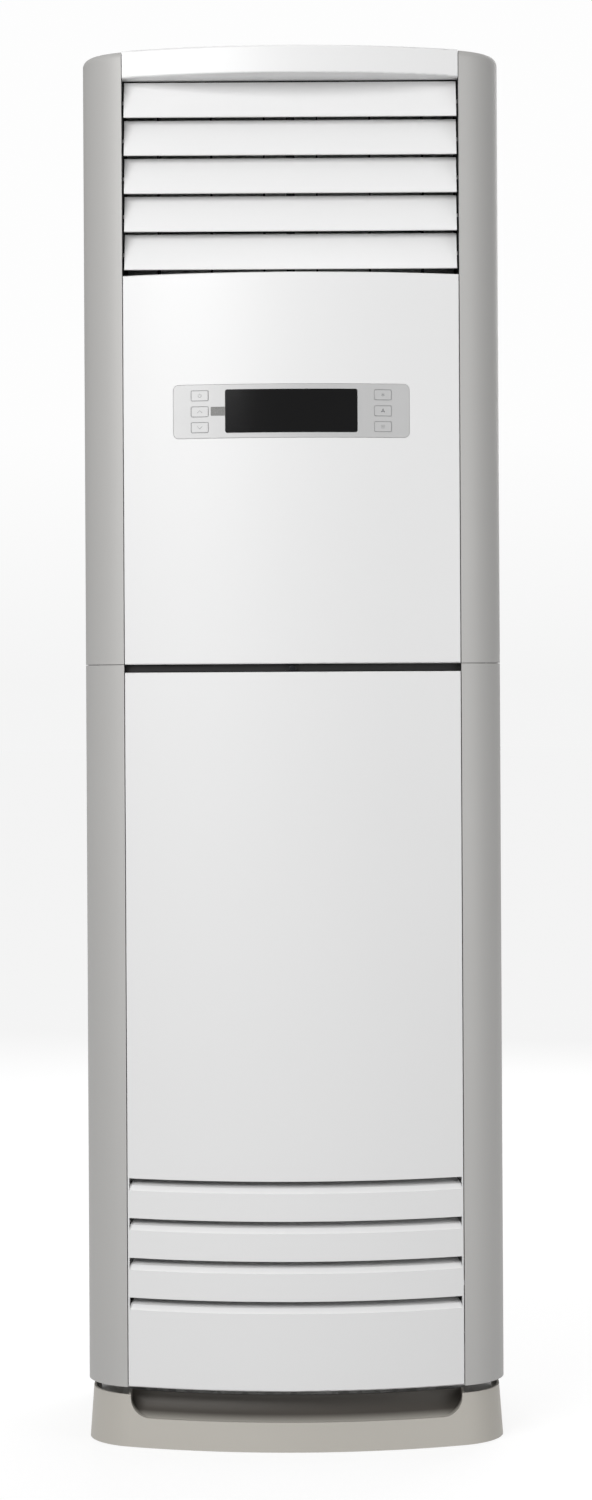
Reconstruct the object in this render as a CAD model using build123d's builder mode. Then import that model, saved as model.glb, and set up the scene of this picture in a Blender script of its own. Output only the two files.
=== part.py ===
from build123d import *
import os
from math import asin, atan2, cos, degrees, radians, sin, sqrt

# Floor standing air conditioner, indoor unit, in millimetres.
# +Z is up, the front faces -Y and +X is the right hand side seen from the front.
# The origin is the middle of the footprint, on the floor.

# ---------------------------------------------------------------- overall size
width = 550.0
depth = 418.0
height = 1824.0
sheet = 1.2  # sheet steel
skin = 2.5  # moulded walls

# ---------------------------------------------------------------- curved front, in plan
front_radius = 625.0
bezel_proud = 0.6
panel_front_y = -depth / 2 + bezel_proud
front_axis_y = panel_front_y + front_radius
corner_radius = 85.0
corner_x = width / 2 - corner_radius
corner_y = -88.8
corner_angle = 20.6  # where the front arc runs into the corner arc
panel_half = 219.5  # half width of the white panels
trim_inner = 220.5  # inner edge of the silver side trims
trim_back_y = -60.0
return_depth = 16.0  # depth of the panels' folded edges

# ---------------------------------------------------------------- heights
plinth_top = 67.0
deck_top = 78.0
panel_foot = 79.0
lower_panel_top = 1011.5
upper_panel_foot = 1022.0
upper_panel_top = 1530.0
header_foot = 1788.0
rear_face_y = depth / 2 - sheet  # outer face of the rear plate
front_axis = Axis((0, front_axis_y, 0), (0, 0, 1))


def export(piece, name):
    """Label a finished sub-part and write it under its own name."""
    piece.part.label = name
    export_step(piece.part, "parts/" + name + ".step")


def arc_y(radius, x):
    """The y of an arc about the front's upright axis, at a given x."""
    return front_axis_y - sqrt(radius**2 - x**2)


def radial_plane(angle):
    """An upright plane through the front's axis, at an angle from straight ahead."""
    turn = radians(angle)
    outwards = (sin(turn), -cos(turn), 0)
    return Plane(origin=(0, front_axis_y, 0), x_dir=outwards, z_dir=(-cos(turn), -sin(turn), 0))


def front_band(outer, inner, half, z):
    """Plan of a wall that follows the curved front, from one radius to another."""
    with BuildSketch(Plane.XY.offset(z)) as band:
        with BuildLine():
            ThreePointArc(
                (-half, arc_y(outer, half)),
                (0, arc_y(outer, 0)),
                (half, arc_y(outer, half)),
            )
            Line((half, arc_y(outer, half)), (half, arc_y(inner, half)))
            ThreePointArc(
                (half, arc_y(inner, half)),
                (0, arc_y(inner, 0)),
                (-half, arc_y(inner, half)),
            )
            Line((-half, arc_y(inner, half)), (-half, arc_y(outer, half)))
        make_face()
    return band.sketch


def front_segment(outer, back_y, half, z):
    """Plan of a block between the curved front and a straight back."""
    with BuildSketch(Plane.XY.offset(z)) as segment:
        with BuildLine():
            ThreePointArc(
                (-half, arc_y(outer, half)),
                (0, arc_y(outer, 0)),
                (half, arc_y(outer, half)),
            )
            Polyline(
                (half, arc_y(outer, half)),
                (half, back_y),
                (-half, back_y),
                (-half, arc_y(outer, half)),
            )
        make_face()
    return segment.sketch


def cabinet_plan(inset, z):
    """Plan of the whole cabinet, moved inwards by an inset."""
    angle = radians(corner_angle)
    front_r = front_radius - inset
    corner_r = corner_radius - inset
    join_x = front_r * sin(angle)
    join_y = front_axis_y - front_r * cos(angle)
    half = width / 2 - inset
    back_y = depth / 2 - inset
    middle = radians(corner_angle + 90) / 2
    mid_x = corner_x + corner_r * sin(middle)
    mid_y = corner_y - corner_r * cos(middle)
    with BuildSketch(Plane.XY.offset(z)) as plan:
        with BuildLine():
            ThreePointArc((-join_x, join_y), (0, arc_y(front_r, 0)), (join_x, join_y))
            ThreePointArc((join_x, join_y), (mid_x, mid_y), (half, corner_y))
            Polyline((half, corner_y), (half, back_y), (-half, back_y), (-half, corner_y))
            ThreePointArc((-half, corner_y), (-mid_x, mid_y), (-join_x, join_y))
        make_face()
    return plan.sketch


os.makedirs("parts", exist_ok=True)

# ================================================================ base
# The plinth flares towards the floor. Its front has a wide scoop, which also
# gives the foot of the lower front panel room when the panel tilts.
plinth_foot_inset = 1.0
plinth_flare = 5.0
plinth_wall = 3.0
scoop_half = 217.0
scoop_rim_z = 38.0
scoop_corner = 25.0
scoop_depth_radius = 616.0
scoop_curve = plinth_top - scoop_rim_z


def scoop(grow):
    """The scooped space in the plinth, or that space with a wall round it."""
    curve = scoop_curve + grow
    foot = scoop_rim_z - grow
    outside = front_radius + 30
    above = plinth_top + 20
    with BuildPart() as space:
        with BuildSketch(radial_plane(-30)):
            with BuildLine():
                Line((outside, foot), (scoop_depth_radius, foot))
                RadiusArc((scoop_depth_radius, foot), (scoop_depth_radius - curve, plinth_top), curve)
                Polyline(
                    (scoop_depth_radius - curve, plinth_top),
                    (scoop_depth_radius - curve, above),
                    (outside, above),
                    (outside, foot),
                )
            make_face()
        revolve(axis=front_axis, revolution_arc=60)
        with BuildSketch(Plane.XZ.offset(depth)):
            with Locations((0, foot + 50)):
                RectangleRounded(2 * (scoop_half + grow), 100, scoop_corner)
        extrude(amount=-depth, mode=Mode.INTERSECT)
    return space.part


def flared_block(inset):
    """A block that narrows upwards, between two plans of the cabinet."""
    with BuildPart() as block:
        add(cabinet_plan(inset, 0))
        add(cabinet_plan(inset + plinth_flare, plinth_top))
        loft(ruled=True)
    return block.part


with BuildPart() as plinth_hollow:
    add(flared_block(plinth_foot_inset + plinth_wall))
    add(scoop(plinth_wall), mode=Mode.SUBTRACT)

with BuildPart() as base_plinth:
    add(flared_block(plinth_foot_inset))
    add(plinth_hollow.part, mode=Mode.SUBTRACT)
    add(scoop(0), mode=Mode.SUBTRACT)
export(base_plinth, "base_plinth")

# The base pan carries the cabinet: a deck on four walls, with flanges on the
# floor that take the anchor bolts.
pan_half = 257.0
deck_front_y = -160.0
pan_front_y = -116.0
pan_back_y = 200.0
pan_depth = pan_back_y - pan_front_y
pan_middle_y = (pan_front_y + pan_back_y) / 2
pan_flange = 32.0
deck_inset = 10.0
anchor_inset = pan_flange / 2
anchor_hole = 10.0
hinge_y = -165.0  # the lower front panel tilts about this line
hinge_z = 86.0
hinge_pin = 6.0
hinge_x = 150.0
hook_thick = 3.0
bracket_x = hinge_x + 5.0
bracket_round = 5.0  # steel round the hinge pin
bracket_foot = 12.0  # length of the bracket on the deck

with BuildPart() as base_pan:
    with BuildSketch():
        with Locations((0, pan_middle_y)):
            Rectangle(2 * pan_half, pan_depth)
    extrude(amount=deck_top)
    with BuildSketch(Plane.XY):
        with Locations((0, pan_middle_y)):
            Rectangle(2 * (pan_half - sheet), pan_depth - 2 * sheet)
    extrude(amount=deck_top - sheet, mode=Mode.SUBTRACT)
    with BuildSketch(Plane.XY):
        with Locations((0, pan_middle_y)):
            Rectangle(2 * pan_half, pan_depth)
            Rectangle(2 * (pan_half - pan_flange), pan_depth - 2 * pan_flange, mode=Mode.SUBTRACT)
            with GridLocations(2 * (pan_half - anchor_inset), pan_depth - 2 * anchor_inset, 2, 2):
                Circle(anchor_hole / 2, mode=Mode.SUBTRACT)
    extrude(amount=2 * sheet)
    with BuildSketch(Plane.XY.offset(deck_top - sheet)):
        add(cabinet_plan(deck_inset, 0))
        with Locations((0, deck_front_y - 100)):
            Rectangle(width, 200, mode=Mode.SUBTRACT)
    extrude(amount=sheet)
    for side in (-1, 1):
        with BuildSketch(Plane.YZ.offset(side * (bracket_x + 1))):
            with BuildLine():
                Polyline(
                    (hinge_y - bracket_round + 1, hinge_z - bracket_round + 1),
                    (hinge_y - bracket_round + 1, hinge_z + bracket_round),
                    (deck_front_y + bracket_foot, hinge_z + bracket_round),
                    (deck_front_y + bracket_foot, deck_top),
                    (deck_front_y, deck_top),
                    close=True,
                )
            make_face()
        extrude(amount=1, both=True)
        with BuildSketch(Plane.YZ.offset(side * (hinge_x - hook_thick))):
            with Locations((hinge_y, hinge_z)):
                Circle(hinge_pin / 2)
        extrude(amount=side * (bracket_x - hinge_x + hook_thick))
export(base_pan, "base_pan")

# ================================================================ side trims
# Each trim is a C section: a rounded front, a folded edge beside the panel and
# a folded edge at the back. The upper ones are closed and rounded at the top.
trim_top_round = 10.0
trim_back_flange = 12.0
upper_trim_return_y = -158.0
lower_trim_return_y = -152.0


def trim_plan(inset, z):
    """Plan of the space that a right hand trim encloses, moved inwards."""
    inner_x = trim_inner + inset
    outer_x = width / 2 - inset
    back_y = trim_back_y - inset
    arc_r = corner_radius - inset
    start_y = corner_y - sqrt(arc_r**2 - (inner_x - corner_x) ** 2)
    middle = radians(corner_angle + 90) / 2
    with BuildSketch(Plane.XY.offset(z)) as plan:
        with BuildLine():
            ThreePointArc(
                (inner_x, start_y),
                (corner_x + arc_r * sin(middle), corner_y - arc_r * cos(middle)),
                (outer_x, corner_y),
            )
            Polyline(
                (outer_x, corner_y),
                (outer_x, back_y),
                (inner_x, back_y),
                (inner_x, start_y),
            )
        make_face()
    return plan.sketch


def trim_block(inset, foot, top, top_round):
    """The trim's outer or inner form, rounded along its top edge."""
    with BuildPart() as block:
        extrude(trim_plan(inset, foot), amount=top - foot)
        if top_round:
            rim = block.faces().sort_by(Axis.Z)[-1].edges()
            outer = rim.filter_by(lambda edge: edge.center().X > trim_inner + 5)
            fillet(outer.filter_by(lambda edge: edge.center().Y < trim_back_y - 5), radius=top_round)
    return block.part


def trim(foot, top, return_y, closed):
    """A right hand trim from foot to top."""
    cap = skin if closed else -1
    outer_round = trim_top_round if closed else 0
    inner_round = trim_top_round - skin if closed else 0
    with BuildPart() as shell:
        add(trim_block(0, foot, top, outer_round))
        add(trim_block(skin, foot - 1, top - cap, inner_round), mode=Mode.SUBTRACT)
        with BuildSketch(Plane.XY.offset(foot - 1)):
            Polygon(
                (trim_inner - 1, return_y),
                (trim_inner + skin, return_y),
                (trim_inner + skin, trim_back_y - skin),
                (width / 2 - skin - trim_back_flange, trim_back_y - skin),
                (width / 2 - skin - trim_back_flange, trim_back_y + 1),
                (trim_inner - 1, trim_back_y + 1),
                align=None,
            )
        extrude(amount=top - cap - foot + 1, mode=Mode.SUBTRACT)
    return shell.part


with BuildPart() as right_upper_trim:
    add(trim(upper_panel_foot + 0.4, height, upper_trim_return_y, True))
export(right_upper_trim, "right_upper_trim")

with BuildPart() as left_upper_trim:
    add(mirror(right_upper_trim.part, about=Plane.YZ, mode=Mode.PRIVATE))
export(left_upper_trim, "left_upper_trim")

with BuildPart() as right_lower_trim:
    add(trim(deck_top, upper_panel_foot - 0.4, lower_trim_return_y, False))
export(right_lower_trim, "right_lower_trim")

with BuildPart() as left_lower_trim:
    add(mirror(right_lower_trim.part, about=Plane.YZ, mode=Mode.PRIVATE))
export(left_lower_trim, "left_lower_trim")

# ================================================================ sheet steel shell
side_outer_x = width / 2 - sheet
plate_flange = 15.0
plate_top = height - sheet

with BuildPart() as right_side_plate:
    with BuildSketch(Plane.XY.offset(deck_top)):
        with BuildLine():
            Polyline(
                (side_outer_x - plate_flange, trim_back_y + 0.4),
                (side_outer_x, trim_back_y + 0.4),
                (side_outer_x, rear_face_y - sheet),
                (side_outer_x - plate_flange, rear_face_y - sheet),
                (side_outer_x - plate_flange, rear_face_y - 2 * sheet),
                (side_outer_x - sheet, rear_face_y - 2 * sheet),
                (side_outer_x - sheet, trim_back_y + 0.4 + sheet),
                (side_outer_x - plate_flange, trim_back_y + 0.4 + sheet),
                close=True,
            )
        make_face()
    extrude(amount=plate_top - deck_top)
export(right_side_plate, "right_side_plate")

with BuildPart() as left_side_plate:
    add(mirror(right_side_plate.part, about=Plane.YZ, mode=Mode.PRIVATE))
export(left_side_plate, "left_side_plate")

# The rear plate has three pressed beads, the opening where the refrigerant
# pipes leave and a small hole for the supply cable's gland.
pipe_port_x = 220.0
pipe_port_z = 165.0
pipe_port_width = 76.0
pipe_port_height = 46.0
gland_x = 130.0
gland_hole = 22.0
bead_width = 14.0
bead_length = 380.0
bead_rows = (560.0, 1010.0, 1460.0)
bead_lift = 0.9
rear_half = side_outer_x - 0.2

with BuildPart() as rear_plate:
    with BuildSketch(Plane.XZ.offset(-rear_face_y)):
        with Locations((0, (deck_top + plate_top) / 2)):
            Rectangle(2 * rear_half, plate_top - deck_top)
    extrude(amount=sheet)
    for bead_z in bead_rows:
        with BuildSketch(Plane.XZ.offset(-rear_face_y)):
            with Locations((0, bead_z)):
                SlotOverall(bead_length, bead_width)
        extrude(amount=-bead_lift, taper=45)
    with BuildSketch(Plane.XZ.offset(-rear_face_y)):
        with Locations((pipe_port_x, pipe_port_z)):
            SlotOverall(pipe_port_width, pipe_port_height)
        with Locations((gland_x, pipe_port_z)):
            Circle(gland_hole / 2)
    extrude(amount=sheet, mode=Mode.SUBTRACT)
export(rear_plate, "rear_plate")

# The top cover drops over the side and rear plates with a short skirt.
header_back_y = -143.0
cover_skirt = 15.0
cover_corner = 4.0

with BuildPart() as top_cover:
    with BuildSketch(Plane.XY.offset(height - cover_skirt)):
        Polygon(
            (-width / 2, trim_back_y + 0.4),
            (width / 2, trim_back_y + 0.4),
            (width / 2, depth / 2),
            (-width / 2, depth / 2),
            align=None,
        )
    extrude(amount=cover_skirt)
    back_edges = top_cover.edges().filter_by(Axis.Z).group_by(Axis.Y)[-1]
    fillet(back_edges, radius=cover_corner)
    with BuildSketch(Plane.XY.offset(height - cover_skirt)):
        Polygon(
            (-side_outer_x, trim_back_y - 1),
            (side_outer_x, trim_back_y - 1),
            (side_outer_x, rear_face_y),
            (-side_outer_x, rear_face_y),
            align=None,
        )
    extrude(amount=cover_skirt - sheet, mode=Mode.SUBTRACT)
    with BuildSketch(Plane.XY.offset(height - sheet)):
        Polygon(
            (-panel_half, header_back_y + 0.4),
            (panel_half, header_back_y + 0.4),
            (panel_half, trim_back_y + 1),
            (-panel_half, trim_back_y + 1),
            align=None,
        )
    extrude(amount=sheet)
export(top_cover, "top_cover")

# ================================================================ header above the outlet
header_round = 2.5
with BuildPart() as outlet_header:
    extrude(
        front_segment(front_radius, header_back_y, panel_half, header_foot),
        amount=height - header_foot,
    )
    front_rim = outlet_header.faces().sort_by(Axis.Y)[0].edges().filter_by(GeomType.CIRCLE)
    fillet(front_rim, radius=header_round)
    extrude(
        front_segment(front_radius - skin, header_back_y + 1, panel_half - skin, header_foot + skin),
        amount=height - header_foot - 2 * skin,
        mode=Mode.SUBTRACT,
    )
export(outlet_header, "outlet_header")

# ================================================================ upper front panel
bezel_width = 307.0
bezel_height = 69.6
bezel_z = 1350.0
bezel_corner = 7.0
bezel_gap = 0.3
shelf_back_y = -151.0  # the shelf at the foot of the air outlet
panel_edge_round = 1.6


def panel_shell(foot, top):
    """A curved front wall with its edges folded back."""
    with BuildPart() as shell:
        band = front_band(front_radius, front_radius - return_depth, panel_half, foot)
        extrude(band, amount=top - foot)
        face = shell.faces().sort_by(Axis.Y)[0]
        fillet(face.edges(), radius=panel_edge_round)
        extrude(
            front_band(front_radius - skin, front_radius - 2 * return_depth, panel_half - skin, foot + skin),
            amount=top - foot - 2 * skin,
            mode=Mode.SUBTRACT,
        )
    return shell.part


with BuildPart() as upper_front_panel:
    add(panel_shell(upper_panel_foot, upper_panel_top))
    extrude(
        front_segment(front_radius - 2 * skin, shelf_back_y, panel_half, upper_panel_top - skin),
        amount=skin,
    )
    with BuildSketch(Plane.XZ.offset(depth)):
        with Locations((0, bezel_z)):
            RectangleRounded(
                bezel_width + 2 * bezel_gap,
                bezel_height + 2 * bezel_gap,
                bezel_corner + bezel_gap,
            )
    extrude(amount=-depth, mode=Mode.SUBTRACT)
export(upper_front_panel, "upper_front_panel")

# ================================================================ lower front panel
# Four full width intake slots. Under each one the wall turns inwards and up,
# so that the room doesn't see into the cabinet.
slot_rows = (195.4, 247.3, 299.2, 351.1)  # upper edge of each slot
slot_height = 16.0
slot_half = 217.4
lip_chamfer = 6.5
lip_rise = 13.4
lip_depth = 22.0
lip_thick = 2.4
lip_angle = degrees(asin((panel_half - 1) / front_radius))
catch_width = 13.0
hook_back_y = hinge_y + 8.0
hook_slope = 4.0
hook_head = 8.0  # how far the hook rises above the hinge pin
hinge_gap = 0.1

with BuildPart() as lower_front_panel:
    add(panel_shell(panel_foot, lower_panel_top))
    for slot_z in slot_rows:
        extrude(
            front_band(front_radius + 5, front_radius - 8, slot_half, slot_z - slot_height),
            amount=slot_height,
            mode=Mode.SUBTRACT,
        )
    for slot_z in slot_rows:
        foot = slot_z - slot_height
        with BuildSketch(radial_plane(-lip_angle)):
            Polygon(
                (front_radius - panel_edge_round, foot),
                (front_radius - lip_chamfer, foot + lip_chamfer),
                (front_radius - lip_depth, foot + lip_rise),
                (front_radius - lip_depth, foot + lip_rise - lip_thick),
                (front_radius - lip_chamfer - 1, foot + lip_chamfer - lip_thick - 1),
                (front_radius - skin - 1, foot - lip_thick),
                (front_radius - panel_edge_round, foot - lip_thick),
                align=None,
            )
        revolve(axis=front_axis, revolution_arc=2 * lip_angle)
    with BuildSketch(Plane.XY.offset(lower_panel_top - skin - 1)):
        with Locations((0, panel_front_y + return_depth)):
            Rectangle(catch_width, return_depth)
    extrude(amount=skin + 2, mode=Mode.SUBTRACT)
    for side in (-1, 1):
        with BuildSketch(Plane.YZ.offset(side * hinge_x)):
            with BuildLine():
                Polyline(
                    (arc_y(front_radius - skin, hinge_x), panel_foot + 1),
                    (hook_back_y - hook_slope, panel_foot + 1),
                    (hook_back_y, hinge_z),
                    (hook_back_y - hook_slope, hinge_z + hook_head),
                    (arc_y(front_radius - skin, hinge_x), hinge_z + hook_head + 6),
                    close=True,
                )
            make_face()
            with Locations((hinge_y, hinge_z)):
                Circle(hinge_pin / 2 + hinge_gap, mode=Mode.SUBTRACT)
        extrude(amount=hook_thick / 2, both=True)
export(lower_front_panel, "lower_front_panel")

# The rail between the panels closes the gap and carries the panel's catch.
rail_front = front_radius - 17.0
rail_back = front_radius - 27.0
rail_foot = 998.0
rail_top = 1036.0
rail_nose = 11.0
rail_half = 220.3
catch_y = panel_front_y + 9.0
catch_depth = 8.0
catch_height = 5.0

with BuildPart() as mid_rail:
    extrude(front_band(rail_front, rail_back, rail_half, rail_foot), amount=rail_top - rail_foot)
    extrude(
        front_band(rail_front - skin, rail_back - 1, rail_half - 12, rail_foot + skin),
        amount=rail_top - rail_foot - 2 * skin,
        mode=Mode.SUBTRACT,
    )
    extrude(
        front_band(front_radius - rail_nose, rail_front - 1, panel_half, lower_panel_top + 1),
        amount=upper_panel_foot - lower_panel_top - 2,
    )
    with BuildSketch(Plane.XY.offset(lower_panel_top + 2)):
        with Locations((0, catch_y)):
            Rectangle(catch_width - 3, catch_depth)
    extrude(amount=catch_height)
export(mid_rail, "mid_rail")

# ================================================================ display group
bezel_thick = 5.6
bezel_front = front_radius + bezel_proud
bezel_back = bezel_front - bezel_thick
bezel_flange = 4.0
flange_front = front_radius - skin
display_width = 172.0
display_height = 56.5
display_corner = 3.0
lens_recess = 0.5
receiver_x = -95.4
receiver_width = 18.4
receiver_height = 11.7
key_x = 119.0
key_rows = (1370.5, 1349.7, 1329.2)
key_width = 23.0
key_height = 13.7
key_gap = 0.15
key_travel = 0.7
board_front_y = -180.4
board_thick = 1.6
post_x = 139.0
post_z = 25.0
post_radius = 3.0
switch_size = 6.0
segment_gap = 0.5  # from the display block to the lens
front_sheet = Plane.XZ.offset(depth)  # outlines seen from the front start here


def curved_block(width_x, height_z, corner, centre_x, centre_z, outer, inner):
    """A rounded outline seen from the front, cut from the curved wall."""
    with BuildPart() as block:
        with BuildSketch(front_sheet):
            with Locations((centre_x, centre_z)):
                RectangleRounded(width_x, height_z, corner)
        extrude(amount=-depth)
        extrude(
            front_band(outer, inner, panel_half, centre_z - height_z),
            amount=2 * height_z,
            mode=Mode.INTERSECT,
        )
    return block.part


with BuildPart() as display_bezel:
    add(curved_block(bezel_width, bezel_height, bezel_corner, 0, bezel_z, bezel_front, bezel_back))
    front_rim = display_bezel.faces().sort_by(Axis.Y)[0].edges()
    fillet(front_rim, radius=0.5)
    add(
        curved_block(
            bezel_width + 2 * bezel_flange,
            bezel_height + 2 * bezel_flange,
            bezel_corner + bezel_flange,
            0,
            bezel_z,
            flange_front,
            bezel_back,
        )
    )
    with BuildSketch(front_sheet):
        with Locations((0, bezel_z)):
            RectangleRounded(display_width, display_height, display_corner)
        with Locations((receiver_x, bezel_z)):
            RectangleRounded(receiver_width, receiver_height, 1)
        for side in (-1, 1):
            for row_z in key_rows:
                with Locations((side * key_x, row_z)):
                    RectangleRounded(key_width + 2 * key_gap, key_height + 2 * key_gap, 2.2)
    extrude(amount=-depth, mode=Mode.SUBTRACT)
    with BuildSketch(Plane.XZ.offset(-board_front_y)):
        with GridLocations(2 * post_x, 2 * post_z, 2, 2):
            with Locations((0, bezel_z)):
                Circle(post_radius)
    extrude(amount=board_front_y - arc_y(bezel_back + 1.5, post_x))
export(display_bezel, "display_bezel")

with BuildPart() as display_lens:
    add(
        curved_block(
            display_width,
            display_height,
            display_corner,
            0,
            bezel_z,
            bezel_front - lens_recess,
            bezel_back + 1.5,
        )
    )
export(display_lens, "display_lens")

with BuildPart() as receiver_window:
    add(
        curved_block(
            receiver_width,
            receiver_height,
            1,
            receiver_x,
            bezel_z,
            bezel_front - lens_recess,
            bezel_back + 1.5,
        )
    )
export(receiver_window, "receiver_window")

# The keys travel straight back onto the switches of the flat display board.
key_front = bezel_front + 0.35
key_rim = 1.2
key_rim_front = bezel_back - 0.3
key_rim_back = bezel_back - 2.3
stem_end_y = -187.0
switch_gap = 0.2
switch_front_y = stem_end_y + key_travel + switch_gap
key_count = 0
for side in (-1, 1):
    for row_z in key_rows:
        key_count = key_count + 1
        with BuildPart() as key:
            add(
                curved_block(
                    key_width,
                    key_height,
                    2,
                    side * key_x,
                    row_z,
                    key_front,
                    key_rim_back,
                )
            )
            front_rim = key.faces().sort_by(Axis.Y)[0].edges()
            fillet(front_rim, radius=0.6)
            add(
                curved_block(
                    key_width + 2 * key_rim,
                    key_height + 2 * key_rim,
                    2,
                    side * key_x,
                    row_z,
                    key_rim_front,
                    key_rim_back,
                )
            )
            with BuildSketch(Plane.XZ.offset(-stem_end_y)):
                with Locations((side * key_x, row_z)):
                    Circle(2.5)
            extrude(amount=stem_end_y - arc_y(key_rim_back, key_x) + 1)
        export(key, "key_" + str(key_count))

with BuildPart() as display_board:
    with BuildSketch(Plane.XZ.offset(-board_front_y)):
        with Locations((0, bezel_z)):
            Rectangle(2 * post_x + 12, 2 * post_z + 12)
    extrude(amount=-board_thick)
    with BuildSketch(Plane.XZ.offset(-board_front_y)):
        with Locations((0, bezel_z)):
            Rectangle(display_width - 8, display_height - 6)
    extrude(amount=board_front_y - arc_y(bezel_back + 1.5, display_width / 2) - segment_gap)
    with BuildSketch(Plane.XZ.offset(-board_front_y)):
        with Locations((receiver_x, bezel_z)):
            Rectangle(switch_size + 2, switch_size + 2)
        for side in (-1, 1):
            for row_z in key_rows:
                with Locations((side * key_x, row_z)):
                    Rectangle(switch_size, switch_size)
    extrude(amount=board_front_y - switch_front_y)
export(display_board, "display_board")

# ================================================================ air outlet
# Five horizontal slats turn together. Each one leans 22.5 degrees when shut and
# turns about a line behind its middle, so that it lies level when open. The
# blade covers the ends of its arms. The cranks are long, so the tie bar stays
# clear of the blades' rear edges when they lie level.
slat_count = 5
slat_pitch = 49.8
slat_foot_z = 1538.7  # lower edge of the lowest slat
slat_rise = 48.3
slat_lean = 20.0  # how far the top edge stands behind the lower edge
slat_front_y = -167.0  # front lower edge
slat_half = 214.5  # the arms stand here
blade_half = 217.5  # the blade reaches past its arms
slat_thick = 3.0
pivot_depth = 8.5  # from the slat's front face back to its pivot
pivot_pin = 5.0
pin_gap = 0.1
slat_chord = sqrt(slat_rise**2 + slat_lean**2)
slat_angle = degrees(atan2(slat_lean, slat_rise))
pivot_y = slat_front_y + slat_lean / 2 + pivot_depth * cos(radians(slat_angle))
pivot_offset_z = slat_rise / 2 - pivot_depth * sin(radians(slat_angle))
crank_radius = 37.0
crank_angle = 32.5
crank_pin = 4.0
crank_dy = crank_radius * cos(radians(crank_angle))
crank_dz = crank_radius * sin(radians(crank_angle))
arm_thick = 2.0
arm_foot = 9.5  # half the height of an arm where it leaves the blade
hub_round = 4.0  # plastic round a pivot
crank_round = 3.4
bar_thick = 2.0
bar_x = slat_half + 0.5
bar_width = 6.4
ear_x = 8.0
ear_thick = 2.5
lug_half = 4.4

frame_half = 219.5
frame_wall = 3.0
frame_side_y = -157.4
frame_foot_y = -149.0
frame_top_y = -139.0
frame_back_y = -36.0
frame_foot = 1528.5
frame_top = 1790.0
frame_inner_foot = frame_foot + frame_wall
frame_inner_top = frame_top - frame_wall
post_half = 5.5
post_front_y = -119.0
post_back_y = -112.5

vane_count = 6
vane_pitch = 70.0
vane_y = -85.0
vane_front = 28.0  # from the pivot to the leading edge
vane_back = 22.0
vane_thick = 2.0
vane_foot = frame_inner_foot + 3.0
vane_top = frame_inner_top - 3.0
vane_pin = 4.0
vane_crank = 17.0
vane_crank_z = 1600.0
vane_corner = 6.0
link_pin = 3.0
link_notch = 12.0  # height of the notch in each vane
link_thick = 3.0
link_width = 6.0
vane_x = [vane_pitch * (i - (vane_count - 1) / 2) for i in range(vane_count)]
slat_pivot_z = [slat_foot_z + slat_pitch * i + pivot_offset_z for i in range(slat_count)]

with BuildPart() as outlet_frame:
    with BuildSketch(Plane.XY.offset(frame_foot)):
        Polygon(
            (-frame_half - frame_wall, frame_side_y),
            (frame_half + frame_wall, frame_side_y),
            (frame_half + frame_wall, frame_back_y),
            (-frame_half - frame_wall, frame_back_y),
            align=None,
        )
    extrude(amount=frame_top - frame_foot)
    with BuildSketch(Plane.XY.offset(frame_inner_foot)):
        Polygon(
            (-frame_half, frame_side_y - 1),
            (frame_half, frame_side_y - 1),
            (frame_half, frame_back_y + 1),
            (-frame_half, frame_back_y + 1),
            align=None,
        )
    extrude(amount=frame_inner_top - frame_inner_foot, mode=Mode.SUBTRACT)
    with BuildSketch(Plane.XY.offset(frame_inner_top - 10)):
        with Locations((0, frame_top_y - 50)):
            Rectangle(2 * frame_half, 100)
    extrude(amount=20, mode=Mode.SUBTRACT)
    with BuildSketch(Plane.XY.offset(frame_foot)):
        with Locations((0, frame_foot_y - 50)):
            Rectangle(2 * frame_half, 100)
    extrude(amount=10, mode=Mode.SUBTRACT)
    with BuildSketch(Plane.XY.offset(frame_inner_foot)):
        with Locations((0, (post_front_y + post_back_y) / 2)):
            Rectangle(2 * post_half, post_back_y - post_front_y)
    extrude(amount=frame_inner_top - frame_inner_foot)
    for pivot_z in slat_pivot_z:
        with BuildSketch(Plane.YZ):
            with BuildLine():
                Polyline(
                    (pivot_y, pivot_z - lug_half),
                    (post_front_y, pivot_z - lug_half),
                    (post_front_y, pivot_z + lug_half),
                    (pivot_y, pivot_z + lug_half),
                )
                ThreePointArc(
                    (pivot_y, pivot_z + lug_half),
                    (pivot_y - lug_half, pivot_z),
                    (pivot_y, pivot_z - lug_half),
                )
            make_face()
        extrude(amount=post_half, both=True)
    with BuildSketch(Plane.YZ):
        for pivot_z in slat_pivot_z:
            with Locations((pivot_y, pivot_z)):
                Circle(pivot_pin / 2 + pin_gap)
    extrude(amount=width / 2, both=True, mode=Mode.SUBTRACT)
    with BuildSketch(Plane.XY.offset(frame_foot)):
        for x in vane_x:
            with Locations((x, vane_y)):
                Circle(vane_pin / 2 + pin_gap)
    extrude(amount=frame_top - frame_foot, mode=Mode.SUBTRACT)
export(outlet_frame, "outlet_frame")

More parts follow.
